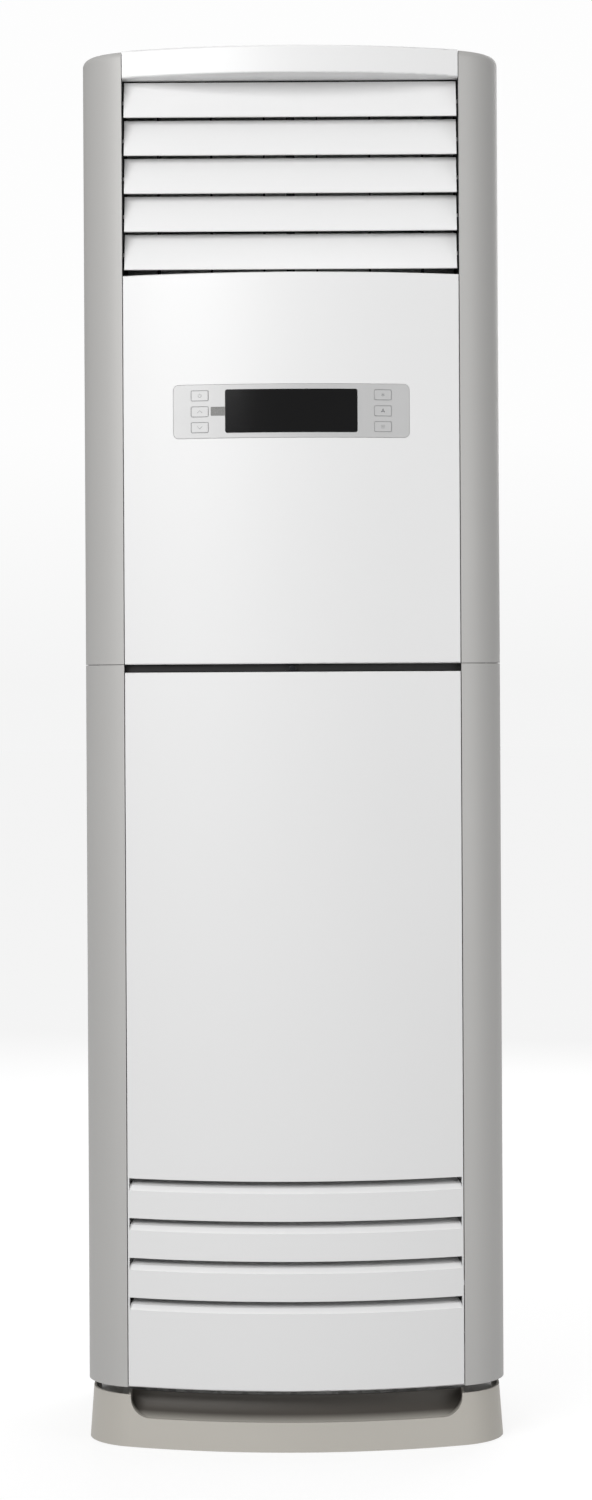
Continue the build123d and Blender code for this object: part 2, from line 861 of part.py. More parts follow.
for number in range(1, slat_count + 1):
    pivot_z = slat_pivot_z[slat_count - number]
    foot_z = pivot_z - pivot_offset_z
    top_z = foot_z + slat_rise
    top_y = slat_front_y + slat_lean
    back_dy = slat_thick * cos(radians(slat_angle))
    back_dz = -slat_thick * sin(radians(slat_angle))
    middle_y = slat_front_y + slat_lean / 2 + back_dy / 2
    middle_z = foot_z + slat_rise / 2 + back_dz / 2
    crank_y = pivot_y + crank_dy
    crank_z = pivot_z + crank_dz
    with BuildPart() as slat:
        with BuildSketch(Plane.YZ.offset(-blade_half)) as section:
            Polygon(
                (slat_front_y, foot_z),
                (top_y, top_z),
                (top_y + back_dy, top_z + back_dz),
                (slat_front_y + back_dy, foot_z + back_dz),
                align=None,
            )
            fillet(section.vertices(), radius=1.3)
        extrude(amount=2 * blade_half)
        for ear in (-ear_x - ear_thick, ear_x, slat_half - arm_thick, -slat_half):
            with BuildSketch(Plane.YZ.offset(ear)):
                with BuildLine():
                    Polyline(
                        (middle_y - hub_round, middle_z - arm_foot),
                        (middle_y + hub_round, middle_z + arm_foot),
                        (pivot_y + hub_round / 2, pivot_z + hub_round),
                        (pivot_y + hub_round, pivot_z - 1.0),
                        (pivot_y + 1.0, pivot_z - hub_round),
                        close=True,
                    )
                make_face()
            extrude(amount=ear_thick if abs(ear) < 20 else arm_thick)
        with BuildSketch(Plane.YZ.offset(slat_half - arm_thick)):
            with BuildLine():
                Polyline(
                    (pivot_y - 2, pivot_z + hub_round),
                    (crank_y - 1, crank_z + crank_round),
                    (crank_y + crank_round, crank_z),
                    (crank_y + 1, crank_z - crank_round),
                    (pivot_y + 3, pivot_z - hub_round),
                    close=True,
                )
            make_face()
        extrude(amount=arm_thick)
        with BuildSketch(Plane.YZ.offset(-ear_x - 1)):
            with Locations((pivot_y, pivot_z)):
                Circle(pivot_pin / 2)
        extrude(amount=2 * ear_x + 2)
        for side in (-1, 1):
            with BuildSketch(Plane.YZ.offset(side * (slat_half - 1))):
                with Locations((pivot_y, pivot_z)):
                    Circle(pivot_pin / 2)
            extrude(amount=side * (frame_half + frame_wall - 0.3 - slat_half + 1))
        with BuildSketch(Plane.YZ.offset(slat_half - 1)):
            with Locations((crank_y, crank_z)):
                Circle(crank_pin / 2)
        extrude(amount=1 + bar_x - slat_half + bar_thick + 0.4)
    export(slat, "slat_" + str(number))

bar_y = pivot_y + crank_dy
bar_foot = slat_pivot_z[0] + crank_dz
bar_head = slat_pivot_z[-1] + crank_dz
with BuildPart() as slat_tie_bar:
    with BuildSketch(Plane.YZ.offset(bar_x)):
        with Locations((bar_y, (bar_foot + bar_head) / 2)):
            SlotCenterToCenter(bar_head - bar_foot, bar_width, rotation=90)
        for pivot_z in slat_pivot_z:
            with Locations((bar_y, pivot_z + crank_dz)):
                Circle(crank_pin / 2 + pin_gap, mode=Mode.SUBTRACT)
    extrude(amount=bar_thick)
export(slat_tie_bar, "slat_tie_bar")

# The upright vanes stand behind the slats. A link bar lies in a notch of each
# vane and joins their rear pins.
for number in range(1, vane_count + 1):
    x = vane_x[number - 1]
    with BuildPart() as vane:
        with BuildSketch(Plane.YZ.offset(x - vane_thick / 2)) as blade:
            Polygon(
                (vane_y - vane_front, vane_foot),
                (vane_y + vane_back, vane_foot),
                (vane_y + vane_back, vane_top),
                (vane_y - vane_front, vane_top),
                align=None,
            )
            fillet(blade.vertices(), radius=vane_corner)
            with Locations((vane_y + vane_back, vane_crank_z)):
                Rectangle(2 * (vane_back - vane_crank + 9), link_notch, mode=Mode.SUBTRACT)
        extrude(amount=vane_thick)
        with BuildSketch(Plane.XY.offset(vane_crank_z - link_notch / 2 - 1)):
            with Locations((x, vane_y + vane_crank)):
                Circle(link_pin / 2)
        extrude(amount=link_notch + 2)
        with BuildSketch(Plane.XY.offset(frame_foot + 0.3)):
            with Locations((x, vane_y)):
                Circle(vane_pin / 2)
        extrude(amount=vane_foot - frame_foot + 4)
        with BuildSketch(Plane.XY.offset(vane_top - 4)):
            with Locations((x, vane_y)):
                Circle(vane_pin / 2)
        extrude(amount=frame_top - 0.3 - vane_top + 4)
    export(vane, "vane_" + str(number))

with BuildPart() as vane_link:
    with BuildSketch(Plane.XY.offset(vane_crank_z - link_thick / 2)):
        with Locations((0, vane_y + vane_crank)):
            SlotCenterToCenter(vane_x[-1] - vane_x[0], link_width)
        for x in vane_x:
            with Locations((x, vane_y + vane_crank)):
                Circle(link_pin / 2 + pin_gap, mode=Mode.SUBTRACT)
    extrude(amount=link_thick)
export(vane_link, "vane_link")

# Two small geared motors: one turns the middle slat, one swings the first vane.
motor_radius = 13.0
motor_offset = 8.0
motor_ear = 7.0  # its two fixing ears
slat_motor_length = 15.0
slat_motor_z = slat_pivot_z[slat_count // 2]
with BuildPart() as slat_motor:
    with BuildSketch(Plane.YZ.offset(frame_half + frame_wall)):
        with Locations((pivot_y + motor_offset, slat_motor_z)):
            Circle(motor_radius)
            Rectangle(motor_ear, 2 * (motor_radius + motor_ear))
    extrude(amount=2)
    with BuildSketch(Plane.YZ.offset(frame_half + frame_wall + 2)):
        with Locations((pivot_y + motor_offset, slat_motor_z)):
            Circle(motor_radius)
    extrude(amount=slat_motor_length - 2)
export(slat_motor, "slat_motor")

with BuildPart() as vane_motor:
    with BuildSketch(Plane.XY.offset(frame_foot)):
        with Locations((vane_x[0], vane_y - motor_offset)):
            Circle(motor_radius)
            Rectangle(2 * (motor_radius + motor_ear), motor_ear)
    extrude(amount=-2)
    with BuildSketch(Plane.XY.offset(frame_foot - 2)):
        with Locations((vane_x[0], vane_y - motor_offset)):
            Circle(motor_radius)
    extrude(amount=-slat_motor_length)
export(vane_motor, "vane_motor")

# ================================================================ fan section
# A centrifugal wheel draws air through the filter and the inlet ring and
# throws it up through the deck. The scroll grows in three quarter turns.
fan_x = -30.0
fan_z = 292.0
wheel_radius = 140.0
wheel_inner = 114.0
wheel_front_y = -88.0
wheel_back_y = 22.0
blade_count = 30
blade_thick = 1.4
blade_sweep = 9.0  # degrees that the outer end leads the inner end
blade_bow = 4.0
shaft_radius = 6.0
hub_radius = 22.0
hub_front_y = -12.0
scroll_start = 160.0
scroll_growth = 20.0
scroll_front_y = -100.0
scroll_back_y = 34.0
scroll_top = 545.0
scroll_outlet_x = 78.0  # inner wall of the outlet, right of the wheel's axis
tongue_angle = 62.0
fan_half = 272.2
fan_deck_back_y = 204.0
tongue_x = scroll_start * cos(radians(tongue_angle))
tongue_z = scroll_start * sin(radians(tongue_angle))
tongue_rise = 16.0
scroll_right_x = scroll_growth + scroll_start + 2 * scroll_growth
outlet_width = scroll_right_x - scroll_outlet_x
outlet_depth = scroll_back_y - scroll_front_y
outlet_x = fan_x + (scroll_outlet_x + scroll_right_x) / 2
outlet_y = (scroll_front_y + scroll_back_y) / 2
fan_front_plane = Plane(origin=(fan_x, 0, fan_z), x_dir=(1, 0, 0), z_dir=(0, -1, 0))


def scroll_outline(y, grow=0):
    """The scroll's inner outline, seen from the front, or one grown outwards."""
    second = scroll_start + scroll_growth
    third = second + scroll_growth
    top = scroll_top - fan_z
    middle = (tongue_angle + 180) / 2
    mid_x = scroll_start * cos(radians(middle))
    mid_z = scroll_start * sin(radians(middle))
    half_turn = sqrt(0.5)
    with BuildSketch(fan_front_plane.offset(-y)) as outline:
        with BuildLine():
            ThreePointArc((tongue_x, tongue_z), (mid_x, mid_z), (-scroll_start, 0))
            ThreePointArc(
                (-scroll_start, 0),
                (scroll_growth - second * half_turn, -second * half_turn),
                (scroll_growth, -second),
            )
            ThreePointArc(
                (scroll_growth, -second),
                (scroll_growth + third * half_turn, scroll_growth - third * half_turn),
                (scroll_growth + third, scroll_growth),
            )
            Polyline(
                (scroll_growth + third, scroll_growth),
                (scroll_growth + third, top),
                (scroll_outlet_x, top),
                (scroll_outlet_x, tongue_z + tongue_rise),
                (tongue_x, tongue_z),
            )
        make_face()
        if grow:
            offset(amount=grow)
    return outline.sketch


with BuildPart() as fan_scroll:
    extrude(scroll_outline(scroll_back_y + sheet, sheet), amount=sheet + scroll_back_y - scroll_front_y)
    extrude(scroll_outline(scroll_back_y), amount=scroll_back_y - scroll_front_y + 1, mode=Mode.SUBTRACT)
    with BuildSketch(Plane.XY.offset(scroll_top)):
        Rectangle(width, depth)
    extrude(amount=10, mode=Mode.SUBTRACT)
    with BuildSketch(Plane.XY.offset(scroll_top - 10)):
        with Locations((outlet_x, outlet_y)):
            Rectangle(outlet_width, outlet_depth)
    extrude(amount=20, mode=Mode.SUBTRACT)
    with BuildSketch(fan_front_plane.offset(-scroll_back_y + 1)):
        Circle(30)
    extrude(amount=-10, mode=Mode.SUBTRACT)
export(fan_scroll, "fan_scroll")

# The inlet ring is the scroll's front plate. Its mouth is rolled inwards, and
# two rails on it guide the air filter.
mouth_radius = 107.0
mouth_roll = 18.0
plate_half = 220.0
filter_half = 203.0
filter_front_y = -110.5
filter_thick = 6.0
filter_foot = 122.0
filter_height = 316.0
filter_lift = 300.0
guide_gap = 0.4
guide_lip = 10.0
guide_foot = 108.0
guide_back_y = scroll_front_y - sheet
roll_centre = mouth_radius + mouth_roll
roll_y = scroll_front_y + mouth_roll - sheet
stop_height = 8.0

with BuildPart() as inlet_ring:
    with BuildSketch(Plane.XZ.offset(-scroll_front_y)):
        with Locations((0, (deck_top + scroll_top) / 2)):
            Rectangle(2 * plate_half, scroll_top - deck_top)
        with Locations((fan_x, fan_z)):
            Circle(mouth_radius + mouth_roll, mode=Mode.SUBTRACT)
    extrude(amount=sheet)
    with BuildSketch(Plane(origin=(fan_x, 0, fan_z), x_dir=(1, 0, 0), z_dir=(0, 0, 1))):
        with BuildLine():
            Line((mouth_radius + mouth_roll, guide_back_y), (mouth_radius + mouth_roll, scroll_front_y))
            ThreePointArc(
                (mouth_radius + mouth_roll, scroll_front_y),
                (roll_centre - (mouth_roll - sheet) * sqrt(0.5), roll_y - (mouth_roll - sheet) * sqrt(0.5)),
                (mouth_radius + sheet, roll_y),
            )
            Line((mouth_radius + sheet, roll_y), (mouth_radius, roll_y))
            ThreePointArc(
                (mouth_radius, roll_y),
                (roll_centre - mouth_roll * sqrt(0.5), roll_y - mouth_roll * sqrt(0.5)),
                (mouth_radius + mouth_roll, guide_back_y),
            )
        make_face()
    revolve(axis=Axis((fan_x, 0, fan_z), (0, 1, 0)), revolution_arc=360)
    for side in (-1, 1):
        rail_in = side * (filter_half + guide_gap)
        rail_out = side * (filter_half + guide_gap + 2)
        lip_in = side * (filter_half - guide_lip)
        lip_back = filter_front_y - guide_gap
        with BuildSketch(Plane.XY.offset(guide_foot)):
            with BuildLine():
                Polyline(
                    (rail_in, guide_back_y),
                    (rail_in, lip_back),
                    (lip_in, lip_back),
                    (lip_in, lip_back - 1.5),
                    (rail_out, lip_back - 1.5),
                    (rail_out, guide_back_y),
                    close=True,
                )
            make_face()
        extrude(amount=scroll_top - guide_foot)
        with BuildSketch(Plane.XY.offset(filter_foot - stop_height)):
            with Locations((side * (filter_half - 6), (guide_back_y + lip_back) / 2)):
                Rectangle(16, guide_back_y - lip_back)
        extrude(amount=stop_height)
export(inlet_ring, "inlet_ring")

# The filter is a frame with ribs over a thin net.
rib = 3.0
filter_border = 10.0
filter_columns = 5
filter_rows = 4
column_pitch = 2 * (filter_half - filter_border) / filter_columns
row_pitch = (filter_height - 2 * filter_border) / filter_rows

with BuildPart() as air_filter:
    with BuildSketch(Plane.XZ.offset(-filter_front_y - filter_thick)):
        with Locations((0, filter_foot + filter_height / 2)):
            RectangleRounded(2 * filter_half, filter_height, 4)
            with GridLocations(column_pitch, row_pitch, filter_columns, filter_rows):
                Rectangle(column_pitch - rib, row_pitch - rib, mode=Mode.SUBTRACT)
    extrude(amount=filter_thick)
    with BuildSketch(Plane.XZ.offset(-filter_front_y - filter_thick / 2)):
        with Locations((0, filter_foot + filter_height / 2)):
            Rectangle(2 * (filter_half - 4), filter_height - 8)
    extrude(amount=0.5)
    with BuildSketch(Plane.XY.offset(filter_foot + filter_height)):
        with Locations((0, filter_front_y + filter_thick / 2)):
            Rectangle(70, 3)
    extrude(amount=14)
export(air_filter, "air_filter")

# Forward curved blades stand between a back plate and a front ring.
inner_x = wheel_inner
lead = radians(blade_sweep)
outer_x = (wheel_radius - 1) * cos(lead)
outer_z = (wheel_radius - 1) * sin(lead)
half_x = (inner_x + outer_x) / 2
half_z = outer_z / 2 - blade_bow

with BuildPart() as fan_wheel:
    with BuildSketch(fan_front_plane.offset(-wheel_back_y)):
        Circle(wheel_radius)
        Circle(shaft_radius, mode=Mode.SUBTRACT)
    extrude(amount=1.6)
    with BuildSketch(fan_front_plane.offset(-wheel_back_y)):
        Circle(hub_radius)
        Circle(shaft_radius, mode=Mode.SUBTRACT)
    extrude(amount=wheel_back_y - hub_front_y)
    with BuildSketch(fan_front_plane.offset(-wheel_back_y + 1)):
        with PolarLocations(0, blade_count):
            with BuildLine():
                ThreePointArc((inner_x, 0), (half_x, half_z), (outer_x, outer_z))
                Line((outer_x, outer_z), (outer_x, outer_z - blade_thick))
                ThreePointArc(
                    (outer_x, outer_z - blade_thick),
                    (half_x + 0.6, half_z - blade_thick),
                    (inner_x, -blade_thick),
                )
                Line((inner_x, -blade_thick), (inner_x, 0))
            make_face()
    extrude(amount=wheel_back_y - wheel_front_y - 1)
    with BuildSketch(fan_front_plane.offset(-wheel_front_y - 3)):
        Circle(wheel_radius)
        Circle(wheel_inner + 10, mode=Mode.SUBTRACT)
    extrude(amount=3)
export(fan_wheel, "fan_wheel")

motor_front_y = 60.0
motor_back_y = 148.0
motor_body_radius = 66.0
motor_boss_y = 44.0
motor_boss_radius = 19.0
motor_corner = 8.0
nut_flats = 19.0
nut_thick = 9.0
thread_length = 16.0  # of the shaft past the hub

with BuildPart() as motor_shaft:
    with BuildSketch(fan_front_plane.offset(-motor_front_y - 20)):
        Circle(shaft_radius)
    extrude(amount=motor_front_y + 20 - hub_front_y + thread_length)
    chamfer(motor_shaft.faces().sort_by(Axis.Y)[0].edges(), length=1)
export(motor_shaft, "motor_shaft")

with BuildPart() as fan_nut:
    with BuildSketch(fan_front_plane.offset(-hub_front_y)):
        RegularPolygon(radius=nut_flats / 2, side_count=6, major_radius=False)
        Circle(shaft_radius, mode=Mode.SUBTRACT)
    extrude(amount=nut_thick)
export(fan_nut, "fan_nut")

with BuildPart() as fan_motor:
    with BuildSketch(fan_front_plane.offset(-motor_back_y)):
        Circle(motor_body_radius)
    extrude(amount=motor_back_y - motor_front_y)
    fillet(fan_motor.edges().filter_by(GeomType.CIRCLE), radius=motor_corner)
    with BuildSketch(fan_front_plane.offset(-motor_front_y - 10)):
        Circle(motor_boss_radius)
    extrude(amount=motor_front_y + 10 - motor_boss_y)
    with BuildSketch(fan_front_plane.offset(-motor_front_y - 21)):
        Circle(shaft_radius + 0.05)
    extrude(amount=60, mode=Mode.SUBTRACT)
export(fan_motor, "fan_motor")

bracket_half = 62.0
bracket_border = 12.0
bracket_sheet = 2.0
bracket_leg = 6.0
bracket_y = motor_front_y - bracket_sheet
with BuildPart() as motor_bracket:
    with BuildSketch(fan_front_plane.offset(-motor_front_y)):
        RectangleRounded(
            2 * (bracket_half + bracket_border),
            2 * (bracket_half + bracket_border),
            bracket_border,
        )
        Circle(motor_boss_radius + 5, mode=Mode.SUBTRACT)
    extrude(amount=bracket_sheet)
    with BuildSketch(fan_front_plane.offset(-bracket_y)):
        with GridLocations(2 * bracket_half, 2 * bracket_half, 2, 2):
            Circle(bracket_leg)
    extrude(amount=bracket_y - scroll_back_y - sheet)
export(motor_bracket, "motor_bracket")

# ================================================================ cooling section
drain_front_y = 92.0
drain_back_y = 202.0
drain_half = 248.0
drain_top = 590.0
drain_wall = 2.0
deck_sheet_top = scroll_top + sheet
spigot_x = -222.0
spigot_y = 176.0
spigot_radius = 9.0
spigot_length = 34.0
riser_x = 261.0
riser_y = 156.0
deck_front_half = 250.0
deck_step_y = trim_back_y + 5
deck_rim_height = 18.0
deck_rim_length = 150.0
deck_rim_y = 30.0
riser_hole_width = 28.0
riser_hole_depth = 62.0

with BuildPart() as fan_deck:
    with BuildSketch(Plane.XY.offset(scroll_top)):
        Polygon(
            (-deck_front_half, scroll_front_y - sheet),
            (deck_front_half, scroll_front_y - sheet),
            (deck_front_half, deck_step_y),
            (fan_half, deck_step_y),
            (fan_half, fan_deck_back_y),
            (-fan_half, fan_deck_back_y),
            (-fan_half, deck_step_y),
            (-deck_front_half, deck_step_y),
            align=None,
        )
        with Locations((outlet_x, outlet_y)):
            Rectangle(outlet_width, outlet_depth, mode=Mode.SUBTRACT)
        with Locations((spigot_x, spigot_y)):
            Circle(spigot_radius + 3, mode=Mode.SUBTRACT)
        with Locations((riser_x + 3, riser_y)):
            Rectangle(riser_hole_width, riser_hole_depth, mode=Mode.SUBTRACT)
    extrude(amount=sheet)
    for side in (-1, 1):
        with BuildSketch(Plane.XY.offset(scroll_top)):
            with Locations((side * (fan_half - sheet / 2), deck_rim_y)):
                Rectangle(sheet, deck_rim_length)
        extrude(amount=deck_rim_height)
export(fan_deck, "fan_deck")

# The drain pan lies under the lower edge of the coil, behind the fan's outlet.
with BuildPart() as drain_pan:
    with BuildSketch(Plane.XY.offset(deck_sheet_top)):
        Polygon(
            (-drain_half, drain_front_y),
            (drain_half, drain_front_y),
            (drain_half, drain_back_y),
            (-drain_half, drain_back_y),
            align=None,
        )
    extrude(amount=drain_top - deck_sheet_top)
    fillet(drain_pan.edges().filter_by(Axis.Z), radius=6)
    offset(amount=-drain_wall, openings=drain_pan.faces().sort_by(Axis.Z)[-1])
    with BuildSketch(Plane.XY.offset(deck_sheet_top)):
        with Locations((spigot_x, spigot_y)):
            Circle(spigot_radius)
    extrude(amount=-spigot_length)
    with BuildSketch(Plane.XY.offset(deck_sheet_top + drain_wall + 1)):
        with Locations((spigot_x, spigot_y)):
            Circle(spigot_radius - 2)
    extrude(amount=-spigot_length - 10, mode=Mode.SUBTRACT)
export(drain_pan, "drain_pan")

# The coil leans forward over the fan's outlet. Its fins stand on two rows of
# tubes, joined by return bends in one long run.
coil_half = 230.0
coil_length = 440.0
coil_thick = 38.0
coil_lean = 26.6
coil_y = 66.0
coil_z = 800.0
fin_count = 47
fin_pitch = 10.0
fin_thick = 1.0
tube_radius = 3.5
tube_rows = 7
tube_pitch = 60.0
row_gap = 22.0
end_plate_x = 236.0
end_plate_thick = 1.5
plate_border = 7.0
leg_width = 60.0
leg_top = coil_z - 150.0
leg_foot = deck_sheet_top + drain_wall
leg_y = (drain_front_y + drain_back_y) / 2 + 12
bend_x = end_plate_x + end_plate_thick + 4.0
lean = radians(coil_lean)
coil_plane = Plane(origin=(0, coil_y, coil_z), x_dir=(1, 0, 0), z_dir=(0, -cos(lean), -sin(lean)))
tube_places = []
for row in range(tube_rows):
    tube_places.append((tube_pitch * (row - (tube_rows - 1) / 2), -row_gap / 2))
for row in reversed(range(tube_rows)):
    tube_places.append((tube_pitch * (row - (tube_rows - 1) / 2), row_gap / 2))

with BuildPart() as evaporator_fins:
    with BuildSketch(coil_plane.offset(-coil_thick / 2)):
        with GridLocations(fin_pitch, 1, fin_count, 1):
            Rectangle(fin_thick, coil_length)
    extrude(amount=coil_thick)
export(evaporator_fins, "evaporator_fins")

with BuildPart() as evaporator_tubes:
    for place in tube_places:
        with BuildSketch(Plane.YZ.offset(-bend_x)):
            centre = coil_plane.from_local_coords((0, place[0], place[1]))
            with Locations((centre.Y, centre.Z)):
                Circle(tube_radius)
        extrude(amount=2 * bend_x)
    for number in range(len(tube_places) - 1):
        side = -1 if number % 2 == 0 else 1
        start = coil_plane.from_local_coords((side * bend_x, *tube_places[number]))
        end = coil_plane.from_local_coords((side * bend_x, *tube_places[number + 1]))
        middle = (start + end) / 2
        reach = min((end - start).length / 2, 15.0)
        with BuildSketch(Plane(origin=start, x_dir=(0, 0, 1), z_dir=(side, 0, 0))):
            Circle(tube_radius)
        with BuildLine() as return_bend:
            if (end - start).length > 2 * reach + 1:
                FilletPolyline(
                    start,
                    start + Vector(side * reach, 0, 0),
                    end + Vector(side * reach, 0, 0),
                    end,
                    radius=reach - 0.5,
                )
            else:
                ThreePointArc(start, middle + Vector(side * reach, 0, 0), end)
        sweep(path=return_bend.line)
export(evaporator_tubes, "evaporator_tubes")

with BuildPart() as evaporator_end_plates:
    for side in (-1, 1):
        with BuildSketch(Plane.YZ.offset(side * end_plate_x)):
            with Locations((coil_y, coil_z)):
                Rectangle(coil_thick + 2 * plate_border, coil_length + 12, rotation=coil_lean)
            with Locations((leg_y, (leg_foot + leg_top) / 2)):
                Rectangle(leg_width, leg_top - leg_foot)
            for place in tube_places:
                centre = coil_plane.from_local_coords((0, place[0], place[1]))
                with Locations((centre.Y, centre.Z)):
                    Circle(tube_radius, mode=Mode.SUBTRACT)
        extrude(amount=side * end_plate_thick)
export(evaporator_end_plates, "evaporator_end_plates")

# The refrigerant pipes leave the coil's two free ends, go down through the
# deck beside the scroll and end in flare nuts at the port in the rear plate.
gas_radius = 8.0
liquid_radius = 5.0
gas_port_x = 206.0
liquid_port_x = 236.0
gas_riser_y = 142.0
liquid_riser_y = 172.0
pipe_end_y = 200.0
riser_drop = 34.0  # from the coil's end down to the riser's first bend
riser_foot = 430.0
pipe_set = 20.0  # how far each pipe is set forwards below the deck
pipe_set_z = 330.0
gas_start = coil_plane.from_local_coords((bend_x, tube_places[-1][0], tube_places[-1][1]))
liquid_start = coil_plane.from_local_coords((bend_x, tube_places[0][0], tube_places[0][1]))


def pipe(start, riser_at_y, port_x, radius, bend):
    """One pipe from the coil, down its riser and out towards the rear port."""
    route = [
        start,
        (riser_x, start.Y, start.Z),
        (riser_x, riser_at_y, start.Z - riser_drop),
        (riser_x, riser_at_y, riser_foot),
        (port_x, riser_at_y - pipe_set, pipe_set_z),
        (port_x, riser_at_y - pipe_set, pipe_port_z),
        (port_x, pipe_end_y, pipe_port_z),
    ]
    with BuildPart() as run:
        with BuildSketch(Plane(origin=start, x_dir=(0, 1, 0), z_dir=(1, 0, 0))):
            Circle(radius)
        with BuildLine() as path:
            FilletPolyline(*route, radius=bend)
        sweep(path=path.line)
    return run.part


with BuildPart() as gas_pipe:
    add(pipe(gas_start, gas_riser_y, gas_port_x, gas_radius, [10, 14, 34, 34, 24]))
export(gas_pipe, "gas_pipe")

with BuildPart() as liquid_pipe:
    add(pipe(liquid_start, liquid_riser_y, liquid_port_x, liquid_radius, [9, 9, 24, 24, 16]))
export(liquid_pipe, "liquid_pipe")

nut_length = 20.0
with BuildPart() as flare_nuts:
    for port_x, radius, flats in ((gas_port_x, gas_radius, 27.0), (liquid_port_x, liquid_radius, 19.0)):
        with BuildSketch(Plane.XZ.offset(-pipe_end_y)):
            with Locations((port_x, pipe_port_z)):
                RegularPolygon(radius=flats / 2, side_count=6, major_radius=False)
                Circle(radius, mode=Mode.SUBTRACT)
        extrude(amount=nut_length)
export(flare_nuts, "flare_nuts")

# ================================================================ duct wall and electrics
duct_wall_y = -64.5
duct_foot = coil_z - 150.0
duct_half = 257.0
duct_sheet = 1.5
duct_flange = 30.0

with BuildPart() as duct_wall:
    with BuildSketch(Plane.XZ.offset(-duct_wall_y)):
        with Locations((0, (duct_foot + frame_foot) / 2)):
            Rectangle(2 * duct_half, frame_foot - duct_foot)
    extrude(amount=duct_sheet)
    with BuildSketch(Plane.XY.offset(duct_foot)):
        with Locations((0, duct_wall_y + duct_flange / 2)):
            Rectangle(2 * duct_half, duct_flange)
    extrude(amount=duct_sheet)
    with BuildSketch(Plane.XY.offset(frame_foot - duct_sheet)):
        with Locations((0, duct_wall_y + duct_flange / 2 - 1)):
            Rectangle(2 * frame_half, duct_flange - 2)
    extrude(amount=duct_sheet)
export(duct_wall, "duct_wall")

box_half = 165.0
box_foot = 1070.0
box_top = 1285.0
box_depth = 62.0
box_wall = 1.5
box_back_y = duct_wall_y - duct_sheet
terminal_x = 105.0
terminal_z = 1092.0
terminal_width = 96.0
terminal_height = 20.0
terminal_depth = 18.0
terminal_ways = 6
terminal_rib = 2.0
cable_hole = 18.0
board_x = -35.0
board_z = (box_foot + box_top) / 2 + 15
board_width = 200.0
board_height = 150.0
standoff = 8.0

with BuildPart() as electric_box:
    with BuildSketch(Plane.XZ.offset(-box_back_y)):
        with Locations((0, (box_foot + box_top) / 2)):
            Rectangle(2 * box_half, box_top - box_foot)
    extrude(amount=box_depth)
    offset(amount=-box_wall, openings=electric_box.faces().sort_by(Axis.Y)[0])
    with BuildSketch(Plane.XZ.offset(-box_back_y + box_wall)):
        with Locations((board_x, board_z)):
            with GridLocations(board_width - 20, board_height - 20, 2, 2):
                Circle(3.5)
    extrude(amount=standoff)
    with BuildSketch(Plane.XZ.offset(-box_back_y + box_wall)):
        with Locations((terminal_x, terminal_z)):
            Rectangle(terminal_width, terminal_height)
    extrude(amount=terminal_depth)
    with BuildSketch(Plane.XZ.offset(-box_back_y + box_wall + terminal_depth)):
        with Locations((terminal_x, terminal_z)):
            with GridLocations(terminal_width / terminal_ways, 1, terminal_ways, 1):
                Rectangle(terminal_rib, terminal_height)
    extrude(amount=3 * terminal_rib)
    with BuildSketch(Plane.XY.offset(box_foot)):
        with Locations((terminal_x, box_back_y - box_depth / 2)):
            Circle(cable_hole / 2)
    extrude(amount=box_wall, mode=Mode.SUBTRACT)
export(electric_box, "electric_box")

# The control board carries a relay block, a transformer, a row of capacitors
# and two connectors.
board_back_y = box_back_y - box_wall - standoff
part_height = 24.0
capacitor_radius = 8.0
capacitor_height = 30.0

with BuildPart() as control_board:
    with BuildSketch(Plane.XZ.offset(-board_back_y)):
        with Locations((board_x, board_z)):
            Rectangle(board_width, board_height)
    extrude(amount=board_thick)
    with BuildSketch(Plane.XZ.offset(-board_back_y + board_thick)):
        with Locations((board_x - 55, board_z + 42)):
            Rectangle(44, 36)
        with Locations((board_x + 5, board_z + 47)):
            Rectangle(30, 24)
        with Locations((board_x - 60, board_z - 28)):
            Rectangle(34, 40)
        with Locations((board_x + 50, board_z - 28)):
            Rectangle(26, 50)
    extrude(amount=part_height)
    with BuildSketch(Plane.XZ.offset(-board_back_y + board_thick)):
        with Locations((board_x - 5, board_z - 12)):
            with GridLocations(0, 3 * capacitor_radius, 1, 3):
                Circle(capacitor_radius)
    extrude(amount=capacitor_height)
export(control_board, "control_board")

# ================================================================ screws
screw_radius = 4.0
screw_head = 1.1
screw_x = 264.5
screw_rows = (110.0, 420.0, 730.0, 1160.0, 1600.0, 1780.0)

with BuildPart() as cabinet_screws:
    for z in screw_rows:
        for side in (-1, 1):
            with BuildSketch(Plane.XZ.offset(-rear_face_y)):
                with Locations((side * screw_x, z)):
                    Circle(screw_radius)
            extrude(amount=-screw_head)
export(cabinet_screws, "cabinet_screws")
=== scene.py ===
# %% [markdown]
# # Floor standing air conditioner
# This lesson dresses a cabinet air conditioner that was built as a CAD assembly. The CAD solids stay as
# they are: the lesson gives each of them its real finish, adds the small pieces that are too fine for the
# solids and the fan blades that they lack, and sets up a plain studio. Lengths are in metres in the frame
# of the CAD model: Z is up, the front of the cabinet faces -Y, and the origin lies on the floor in the
# middle of the footprint.

import bpy
import math
from mathutils import Matrix, Vector


